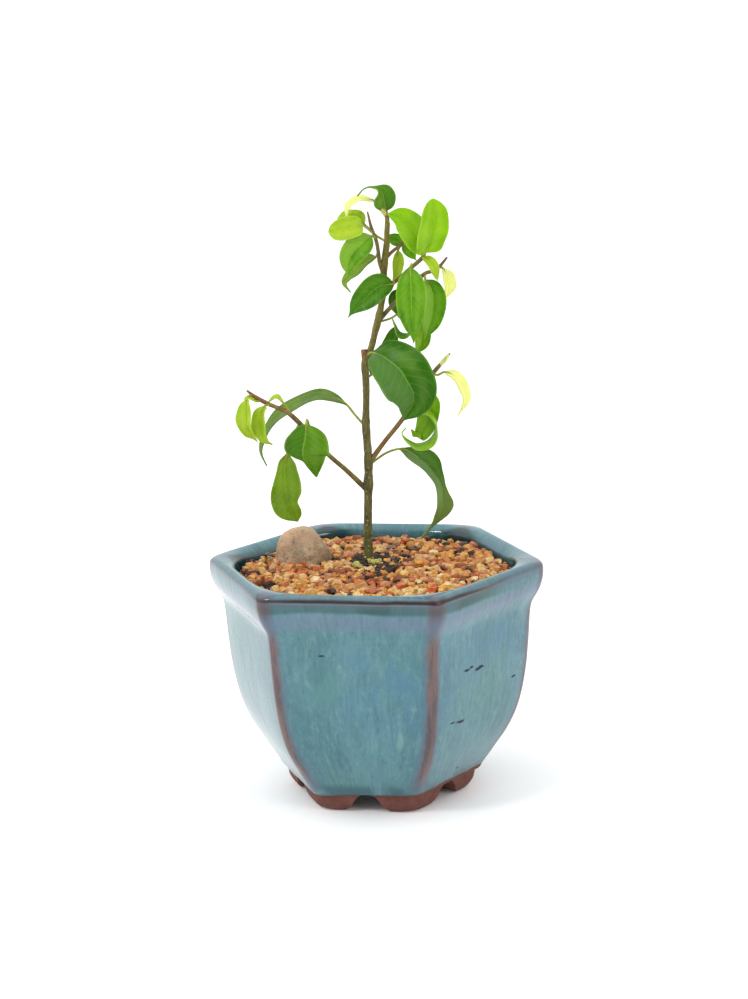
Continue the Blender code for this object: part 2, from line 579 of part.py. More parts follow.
def mound_ring(radius, height):
    middle = place(*MOUND_PLACE, height)
    ring = []
    for i in range(MOUND_SIDES):
        angle = math.tau * i / MOUND_SIDES
        ring.append(middle + Vector((math.cos(angle), math.sin(angle), 0)) * radius * MM)
    return ring


def make_gravel(parts, cutters, stone):
    """Bed of raised, jittered pebbles cut to the inside of the pot."""
    cells = round(2 * GRAVEL_HALF / PEBBLE)
    work = bmesh.new()
    bmesh.ops.create_grid(work, x_segments=cells, y_segments=cells, size=GRAVEL_HALF * MM)
    for vert in work.verts:
        nearness = max(0.0, 1 - (vert.co.length / (WALL_INSIDE[-1][0] * MM)) ** 2)
        rise = GRAVEL_RISE * nearness + draw.uniform(-0.25, 0.25)
        vert.co.x += draw.uniform(-0.27, 0.27) * PEBBLE * MM
        vert.co.y += draw.uniform(-0.27, 0.27) * PEBBLE * MM
        vert.co.z = (GRAVEL_EDGE_LEVEL + rise) * MM
    tops = list(work.faces)
    border = [edge for edge in work.edges if edge.is_boundary]
    skirt = bmesh.ops.extrude_edge_only(work, edges=border)["geom"]
    for vert in [item for item in skirt if isinstance(item, bmesh.types.BMVert)]:
        vert.co.z = (SOIL_TOP + GAP) * MM
    bmesh.ops.holes_fill(work, edges=[edge for edge in work.edges if edge.is_boundary])
    bmesh.ops.inset_individual(work, faces=tops, thickness=PEBBLE_INSET * MM)
    for face in tops:
        lift = draw.uniform(0.7, 1.7)
        for vert in face.verts:
            vert.co.z += (lift + draw.uniform(-0.3, 0.3)) * MM
    bmesh.ops.triangulate(work, faces=work.faces)
    gravel = add_object("gravel", mesh_from(work, "gravel"), parts, "gravel")

    wall_reach, _, wall_rounding = WALL_INSIDE[-1]
    bounds = loft("gravel_bounds",
                  [hexagon_ring(SOIL_TOP_REACH - SOIL_INSET, SOIL_TOP - 10, wall_rounding - GAP),
                   hexagon_ring(wall_reach - SOIL_INSET, MOUND_TOP + 10, wall_rounding - GAP)],
                  False, cutters)
    boolean(gravel, "INTERSECT", other=bounds)
    mound = loft("mound_clearance",
                 [mound_ring(MOUND_FOOT + CLEARANCE, SOIL_TOP - 1),
                  mound_ring(MOUND_CROWN + CLEARANCE, MOUND_TOP + GAP),
                  mound_ring(MOUND_CROWN + CLEARANCE, MOUND_TOP + 10)], False, cutters)
    around_stone = add_object("stone_clearance", stone.data.copy(), cutters)
    swell = around_stone.modifiers.new("swell", "DISPLACE")
    swell.strength = CLEARANCE * MM
    swell.mid_level = 0
    for cutter in (mound, around_stone):
        boolean(gravel, "DIFFERENCE", other=cutter)
    for cutter in (bounds, mound, around_stone):
        hide_cutter(cutter)
    return gravel


def make_stone(parts):
    """Rounded lump with a flat foot, leaning to the left."""
    bulge = [draw.uniform(0.9, 1.06) for _ in range(STONE_SIDES)]
    rings = []
    for right, deep, half_right, half_deep, height in STONE_ROWS:
        ring = []
        for i in range(STONE_SIDES):
            angle = math.tau * i / STONE_SIDES
            reach = bulge[i] * draw.uniform(0.96, 1.03)
            level = height + (draw.uniform(-0.3, 0.3) if height > 78 else 0)
            ring.append(place(right + half_right * reach * math.cos(angle),
                              deep + half_deep * reach * math.sin(angle), level))
        rings.append(ring)
    return loft("stone", rings, False, parts, "stone")


def smooth_point(points, share):
    """Point at this share of the way along a smooth line through the points."""
    rows = [Vector(point) for point in points]
    reach = [0.0]
    for before, after in zip(rows, rows[1:]):
        reach.append(reach[-1] + (after - before).length)
    target = share * reach[-1]
    i = 0
    while i < len(rows) - 2 and reach[i + 1] <= target:
        i += 1
    f = (target - reach[i]) / (reach[i + 1] - reach[i])
    first = rows[i - 1] if i else 2 * rows[0] - rows[1]
    last = rows[i + 2] if i + 2 < len(rows) else 2 * rows[-1] - rows[-2]
    a, b = rows[i], rows[i + 1]
    return 0.5 * (2 * a + (b - first) * f + (2 * first - 5 * a + 4 * b - last) * f ** 2
                  + (3 * a - first - 3 * b + last) * f ** 3)


def width_at(outline, share):
    rows = OUTLINES[outline]
    for (start, wide), (end, next_wide) in zip(rows, rows[1:]):
        if share <= end:
            return wide + (next_wide - wide) * (share - start) / (end - start)
    return rows[-1][1]


def bent(fold, curl, reach):
    """How far out and how far up a blade gets that leaves its rib at fold and curls on."""
    start = math.radians(fold)
    turn = math.radians(curl)
    if abs(turn) < 1e-6:
        return reach * math.cos(start), reach * math.sin(start)
    end = start + turn * reach
    return (math.sin(end) - math.sin(start)) / turn, (math.cos(start) - math.cos(end)) / turn


def blade_point(leaf, share, across):
    rib = leaf["rib"]
    middle = smooth_point(rib, share)
    along = smooth_point(rib, min(1, share + 0.07)) - smooth_point(rib, max(0, share - 0.07))
    along.normalize()
    side = Vector(leaf["side"][0]).normalized().lerp(Vector(leaf["side"][1]).normalized(), share)
    side = (side - along * side.dot(along)).normalized()
    up = side.cross(along)
    half = 0 if across > 0 else 1
    width = leaf["half"] * leaf["widths"][half] * width_at(leaf["outlines"][half], share)
    width = max(width, LEAST_HALF)
    flattened = min(1, width / FOLD_FADES_BELOW)
    out, rise = bent(leaf["fold"] * flattened, leaf["curl"] * flattened, abs(across))
    return middle + side * math.copysign(out * width, across) + up * rise * width


def blade(name, leaf, collection):
    """Thin leaf blade moved by formula from a flat grid."""
    work = bmesh.new()
    bmesh.ops.create_grid(work, x_segments=leaf["stations"] - 1, y_segments=4, size=1)
    for vert in work.verts:
        vert.co = place(*blade_point(leaf, (vert.co.x + 1) / 2, vert.co.y))
    bmesh.ops.triangulate(work, faces=work.faces)
    made = add_object(name, mesh_from(work, name), collection, leaf["colour"])
    thick = made.modifiers.new("thickness", "SOLIDIFY")
    thick.thickness = BLADE * MM
    thick.offset = 0
    apply_modifier(made, thick)
    return made


def stalk(name, leaf, collection):
    """Thin stalk that runs on into the base of its blade."""
    rows = [(*point, STALK) for point in leaf["stalk"]]
    rows.append((*leaf["rib"][0], STALK))
    rows.append((*smooth_point(leaf["rib"], STALK_SUNK), 0.38))
    return tube(name, rows, 1, collection, leaf["colour"])


def make_trunk(parts, cutters):
    trunk = tube("trunk", TRUNK, 3, parts, "bark")
    stubs = new_collection("stub_pieces")
    tube("stub", CUT_STUB, 2, stubs, "bark")
    fuse(trunk, stubs)
    right, deep, height, radius = TRUNK[-1]
    rows = TRUNK[2:-1] + [(right + 0.02, deep - 0.02, height + GAP, radius)]
    clearance = tube("trunk_clearance", rows, 3, cutters, None, GAP)
    stubs = new_collection("stub_pieces")
    tube("stub", CUT_STUB, 2, stubs, None, GAP)
    fuse(clearance, stubs)
    hide_cutter(clearance)
    return clearance


def make_shoot(name, stem_rows, leaf_names, clearance, parts):
    """Stem with its leaves grown onto it, its foot hollowed to sit against the trunk."""
    stem = tube(name, stem_rows, 2, parts, "bark")
    pieces = new_collection("leaf_pieces")
    for leaf_name in leaf_names:
        stalk(leaf_name + "_stalk", LEAVES[leaf_name], pieces)
        blade(leaf_name, LEAVES[leaf_name], pieces)
    fuse(stem, pieces)
    boolean(stem, "DIFFERENCE", other=clearance)


def make_trunk_leaf(name, leaf_name, clearance, parts):
    """Leaf on a stalk of its own, which sits against the trunk."""
    foot = stalk(name, LEAVES[leaf_name], parts)
    pieces = new_collection("leaf_pieces")
    blade(leaf_name, LEAVES[leaf_name], pieces)
    fuse(foot, pieces)
    boolean(foot, "DIFFERENCE", other=clearance)


def stand_on_soles():
    """Raises everything so that the soles are at height 0."""
    for item in bpy.data.objects:
        item.location.z += SOLE_LEVEL * MM


def main():
    clear_scene()
    parts = new_collection("ficus_bonsai")
    cutters = new_collection("cutters")
    cutters.hide_render = True
    make_pot(parts, cutters)
    make_screen(parts)
    make_soil(parts, cutters)
    stone = make_stone(parts)
    make_gravel(parts, cutters, stone)
    clearance = make_trunk(parts, cutters)
    for name, (stem_rows, leaf_names) in SHOOTS.items():
        make_shoot(name, stem_rows, leaf_names, clearance, parts)
    for name, leaf_name in TRUNK_LEAVES.items():
        make_trunk_leaf(name, leaf_name, clearance, parts)
    stand_on_soles()


main()
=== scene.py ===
import contextlib
import math
import random
from collections import namedtuple

import bmesh
import bpy
from mathutils import Matrix, Vector, noise


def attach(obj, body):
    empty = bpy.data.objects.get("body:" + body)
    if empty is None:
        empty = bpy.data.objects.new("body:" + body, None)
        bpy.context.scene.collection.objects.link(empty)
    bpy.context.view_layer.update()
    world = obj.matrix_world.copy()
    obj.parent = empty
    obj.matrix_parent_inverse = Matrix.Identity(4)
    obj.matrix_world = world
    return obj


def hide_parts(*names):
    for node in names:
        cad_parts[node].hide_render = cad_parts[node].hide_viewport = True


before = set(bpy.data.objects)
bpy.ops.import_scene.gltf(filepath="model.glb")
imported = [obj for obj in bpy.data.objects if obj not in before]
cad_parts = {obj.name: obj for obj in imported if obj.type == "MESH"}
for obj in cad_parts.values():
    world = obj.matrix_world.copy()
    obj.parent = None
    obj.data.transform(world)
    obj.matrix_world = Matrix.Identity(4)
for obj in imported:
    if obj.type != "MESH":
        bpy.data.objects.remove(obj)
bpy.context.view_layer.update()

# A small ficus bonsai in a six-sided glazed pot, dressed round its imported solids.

draw = random.Random(11)

MM = 0.001  # sizes below are in millimetres, where nothing else is said
SOLE_LEVEL = 3.0  # the soles lie this far below the level that heights are measured from
PLANT_TURN = math.radians(10)  # the plant's right and depth are turned this far in the pot
SIXTH = math.radians(60)

# Camera
VIEW_TURN = math.radians(10)
VIEW_DROP = math.radians(12.9)
VIEW_ROLL = math.radians(-1.8)
VIEW_REACH = 760.0  # from the aim to the camera
AIM_RIGHT = 0.6
AIM_HEIGHT = 106.2
PICTURE_HEIGHT = 999
FOCAL_PIXELS = 2090.0
SENSOR = 36.0

# Studio, in metres
FLOOR_REACH = 6
FLOOR_TONE = (0.95, 0.95, 0.955, 1)
FLOOR_LIFT = 0.09  # glow that lifts the floor to white
FLOOR_SHADE = (0.022, 0.036)  # the glow sets in between these distances from the pot's middle
ROOM_BRIGHT = 1.08
ROOM_DIM = 0.32
ROOM_TURN = (0.15, 0.85)  # cosines between which the room dims towards the viewer's side
LAMPS = [  # name, kind, place, aim, power, and size, or spread in degrees for a sun
    ("soft_sky", "SUN", (-0.45, -0.55, 1.3), (0, 0, 0), 1.02, 115),
    ("key_light", "AREA", (-0.75, -1.0, 1.25), (0, 0, 0.1), 7, 0.3),
    ("fill_light", "AREA", (1.25, -0.75, 0.7), (0, 0, 0.1), 5, 0.6),
]

# Pot: reach is the distance from the middle to a rounded corner
POT_FLOOR = 10.0
POT_PROFILE = [  # reach, height, corner rounding, from the drain hole up, over the rim and down
    (6.0, POT_FLOOR, 4.8), (20.0, POT_FLOOR, 6.0), (34.5, POT_FLOOR, 6.5), (38.0, 12.2, 6.5),
    (41.6, 16.8, 7.0), (45.0, 23.0, 7.3), (47.4, 31.0, 7.5), (49.2, 42.0, 7.5), (50.4, 60.0, 8.0),
    (50.9, 71.0, 14.0), (51.3, 79.0, 23.0), (51.4, 81.6, 28.0), (52.1, 83.1, 31.0),
    (53.8, 84.1, 31.0), (56.9, 84.5, 21.0), (59.5, 84.2, 11.5), (61.0, 83.6, 8.0),
    (61.8, 82.6, 5.9), (62.0, 80.9, 5.0), (61.9, 79.0, 4.8), (61.5, 76.8, 4.6), (60.6, 74.0, 4.2),
    (59.3, 71.6, 3.4), (58.1, 69.6, 3.4), (57.3, 67.4, 3.4), (56.8, 63.5, 3.4), (56.3, 56.0, 3.4),
    (55.4, 46.0, 3.4), (53.9, 37.0, 3.4), (52.1, 30.0, 3.6), (49.9, 24.4, 3.8), (47.2, 19.4, 4.0),
    (44.2, 15.0, 4.4), (41.2, 10.6, 4.8), (38.4, 6.6, 5.2), (37.4, 5.0, 5.6), (35.9, 4.2, 6.2),
    (35.3, 2.6, 6.8), (34.7, 0.4, 7.6), (33.3, -1.6, 8.4), (31.8, -2.7, 9.0),
    (30.2, -SOLE_LEVEL, 9.0), (26.4, -SOLE_LEVEL, 8.0), (25.0, -2.2, 7.0), (23.4, 5.2, 5.0),
    (14.0, 5.4, 5.1), (6.6, 5.6, 5.2),
]
RING_STEPS = 3  # rings for each row of the profile
CORNER_STEPS = 3  # steps of a corner's arc on each side of its middle
SIDE_STEPS = 4  # steps along a flat side
POT_CREASE = math.radians(38)  # edges sharper than this stay sharp
FOOT_ARCH = [  # half width, height
    (13.0, -4.4), (9.8, -3.1), (8.2, -2.6), (6.4, -1.1), (5.1, 0.9), (4.2, 2.3), (2.9, 3.8), (1.4, 4.4),
]
ARCH_REACH = (17.0, 45.0)
GLAZE_FOOT = 4.4  # where the glaze ends and the bare clay begins

# Bed of gravel, soil patch and stone
BED_LEVEL = 79.6
BED_RISE = 1.3
BED_ROLL = 0.5
BED_GRID = 90
BED_THICK = 3.0
BED_UNDER = 0.9  # the fine bed lies this far under the level of the gravel
# the fine bed takes the dark end of the gravel's mix: painted shade in the gaps between the grains
BED_SHADE_TINT = 0.02
BED_GAP = 0.2  # between the fine bed and the wall
BED_WELD = 0.02
WALL_REACH = 51.3
WALL_ROUNDING = 23.0
WALL_SIDE = (WALL_REACH - WALL_ROUNDING) * math.cos(SIXTH / 2) + WALL_ROUNDING  # to a flat side
ROW_SHARE = 0.866  # rows of the lattice of grains are this share of its spacing apart
GRAIN_LAYERS = [  # spacing, half sizes, level over the bed, jitter
    (2.1, (0.6, 1.1), -0.9, 0.35),
    (3.1, (1.2, 1.9), -0.15, 0.34),
    (4.9, (1.3, 2.2), 0.6, 0.44),
]
GRAIN_KINDS = 7
GRAIN_CREASE = math.radians(24)
GRAIN_GAP = 0.1  # a grain keeps this far from the wall
GRAIN_ROLL = 5.0  # and this far for each millimetre that its layer lies over the bed
CORNER_GAP = 0.5  # what lies on the bed keeps this much further from the corners
GRAIN_CUBE = 1.5  # a grain starts as a cube of this size
GRAIN_BALL = (0.42, 0.07)  # how far it is rounded, and the step from kind to kind
GRAIN_ROUGH = 0.2  # how far its corners are knocked about
TINT_SPREAD = (1.7, 1.35)  # shape of the grains' spread over the mix of colours
TINT_GROUPS = 0.26  # how much groups of like grains differ
TINT_AND_SHADE_SLOPE = 0.003  # paler by this for each millimetre towards the front, darker towards the left; the darkening towards the back is partly painted shade from the back wall
LOW_LAYER_SHADE = 0.18  # painted shade in the gaps: lower layers are darker by this for each millimetre
GRAIN_TILT = 0.5  # radians, either way
GRAIN_DEEP, GRAIN_TALL = (0.75, 1.0), (0.8, 1.05)  # shares of a grain's half size
GRAIN_DRIFT = (-0.45, 0.45)  # down and up from its layer
PATCH_SHARE = 0.5  # this share of the grains is missing in the soil patch
PATCH = [  # right, deep: where dark soil shows between the grains
    (-9.4, 3.4), (-8.3, 13.6), (-5.3, 19.0), (2.3, 19.0), (7.5, 15.0), (8.8, 5.0),
    (7.9, -3.0), (5.5, -10.0), (1.9, -16.0), (-2.5, -17.0), (-5.0, -13.0), (-7.6, -5.0),
]
CRUMB_COUNT = 420
CRUMB_HALF = (0.5, 1.35)
CRUMB_AREA = ((-22, 22), (-24, 28))
CRUMB_STRAYS = 0.93  # this share of the crumbs that fall outside the patch is left out
CRUMB_DRIFT = (-0.3, 0.5)  # for the moss too
CRUMB_HEAP, CRUMB_HEAP_REACH = 1.2, 8.0  # rise of the crumbs at the trunk, and where it ends
MOSS_SPOTS = [(-0.2, 2.4, 2.5), (-6.2, -1.6, 1.6)]  # right, deep, reach
MOSS_COUNT = 20
MOSS_HALF = (0.4, 0.85)
MOSS_LEVEL = 1.3  # over the level of the gravel
MOUND = {"vertices": 40, "radius1": 9.0 * MM, "radius2": 2.2 * MM, "depth": 2.6 * MM}
MOUND_LEVEL = 0.6  # its middle over the level of the gravel
MOUND_LUMPS = 0.8
STONE_ROWS = [  # middle across, middle deep, half across, half deep, height
    (-25.6, 12.5, 9.4, 6.8, 77.0), (-26.0, 12.5, 10.6, 7.8, 80.0), (-26.2, 12.5, 10.3, 7.8, 83.0),
    (-26.5, 12.5, 9.7, 7.4, 85.5), (-27.2, 12.6, 8.5, 6.7, 88.0), (-27.4, 12.7, 6.9, 5.6, 90.5),
    (-27.2, 12.8, 5.2, 4.4, 92.2), (-26.6, 12.8, 3.2, 2.8, 93.3), (-25.9, 12.8, 0.0, 0.0, 93.6),
]
UNDER_STONE = 0.8  # share of the stone's foot under which no grain lies
STONE_KNOCK = 0.05  # change of its half widths, as a share
STONE_ROUGH = ((0.25, 0.35), (0.1, 1.1))  # height of its lumps, and how close they lie
STONE_BALL = {"segments": 56, "ring_count": 34, "radius": 1}

# The plant, by the viewer's right, depth and height
TRUNK = [  # right, deep, height, radius
    (-2.0, 10.0, 60.0, 1.7), (-2.0, 10.0, 72.0, 2.0), (-2.0, 10.0, 80.0, 2.0), (-2.0, 10.0, 83.5, 1.75),
    (-2.0, 10.0, 92.5, 1.65), (-1.5, 9.5, 105.0, 1.55), (-1.3, 9.3, 109.5, 1.95),
    (-1.1, 9.1, 114.0, 1.5), (-1.0, 9.0, 118.5, 1.75), (-1.1, 8.8, 123.0, 1.4), (-1.5, 8.1, 132.0, 1.55),
    (-1.3, 7.8, 137.0, 1.3), (-1.0, 7.5, 143.5, 1.25), (-1.0, 7.1, 150.0, 1.35), (-1.0, 7.0, 155.5, 1.4),
    (1.2, 7.0, 160.5, 1.2), (3.0, 6.5, 167.0, 1.2), (4.4, 6.1, 172.0, 1.4), (5.4, 6.0, 176.5, 1.15),
    (6.5, 6.0, 182.0, 1.35), (6.6, 5.6, 187.5, 1.25), (7.2, 5.2, 193.0, 1.2), (8.0, 5.0, 198.5, 1.1),
    (8.2, 4.8, 202.5, 1.0), (8.5, 4.6, 205.7, 0.95),
]
TRUNK_FOOT = (-2.0, 10.0, 0.0)
TRUNK_KNOTS = (0.36, 0.43, 0.5, 0.58, 0.66, 0.74, 0.83, 0.9)  # shares of its length
KNOT_REACH, KNOT_RISE = 1.6, 0.16  # along the trunk, and out from it
TRUNK_LUMPS = 0.12  # change of the radius along it
TRUNK_WAVER = 0.07  # sideways shift of its surface
CUT_STUB = [(-0.9, 7.0, 155.0, 1.25), (-1.3, 7.0, 160.2, 1.15)]
STUB_LUMPS = 0.15

# Half widths of a blade from stalk to tip, as shares of its widest
OUTLINES = {
    "ovate": [(0, 0.1), (0.06, 0.45), (0.16, 0.8), (0.32, 1), (0.5, 0.97), (0.66, 0.78),
              (0.8, 0.48), (0.89, 0.2), (0.95, 0.08), (1, 0.03)],
    "oval": [(0, 0.1), (0.06, 0.4), (0.18, 0.78), (0.38, 1), (0.6, 0.95), (0.78, 0.68),
             (0.9, 0.36), (0.96, 0.16), (1, 0.05)],
    "long": [(0, 0.1), (0.08, 0.5), (0.22, 0.88), (0.4, 1), (0.58, 0.9), (0.72, 0.62),
             (0.84, 0.3), (0.92, 0.12), (1, 0.03)],
    "heart": [(0, 0.1), (0.06, 0.45), (0.18, 0.8), (0.34, 1), (0.46, 0.92), (0.55, 0.45),
              (0.62, 0.12), (0.8, 0.07), (1, 0.03)],
    "late": [(0, 0.1), (0.12, 0.35), (0.28, 0.5), (0.45, 0.8), (0.6, 1), (0.75, 0.95),
             (0.88, 0.6), (0.95, 0.3), (1, 0.05)],
    "wavy": [(0, 0.1), (0.1, 0.65), (0.25, 0.85), (0.42, 1), (0.56, 0.95), (0.7, 0.62),
             (0.84, 0.6), (0.94, 0.4), (1, 0.05)],
    "narrow": [(0, 0.1), (0.08, 0.5), (0.2, 0.52), (0.35, 0.46), (0.5, 0.52), (0.65, 0.56),
               (0.75, 0.42), (0.85, 0.15), (1, 0.05)],
    "waisted": [(0, 0.1), (0.08, 0.45), (0.2, 0.95), (0.3, 0.92), (0.4, 0.5), (0.48, 0.32),
                (0.56, 0.48), (0.64, 0.74), (0.72, 0.55), (0.8, 0.28), (0.86, 0.12), (1, 0.05)],
    "taper": [(0, 0.07), (0.08, 0.3), (0.18, 0.6), (0.3, 0.85), (0.45, 1), (0.62, 0.98),
              (0.78, 0.78), (0.9, 0.45), (0.96, 0.22), (1, 0.05)],
    "drip": [(0, 0.1), (0.06, 0.5), (0.15, 0.85), (0.28, 1), (0.4, 0.88), (0.5, 0.58),
             (0.6, 0.28), (0.7, 0.14), (0.85, 0.08), (1, 0.04)],
    "round": [(0, 0.12), (0.05, 0.55), (0.15, 0.88), (0.35, 1), (0.6, 1), (0.8, 0.8),
              (0.92, 0.5), (0.98, 0.2), (1, 0.06)],
}
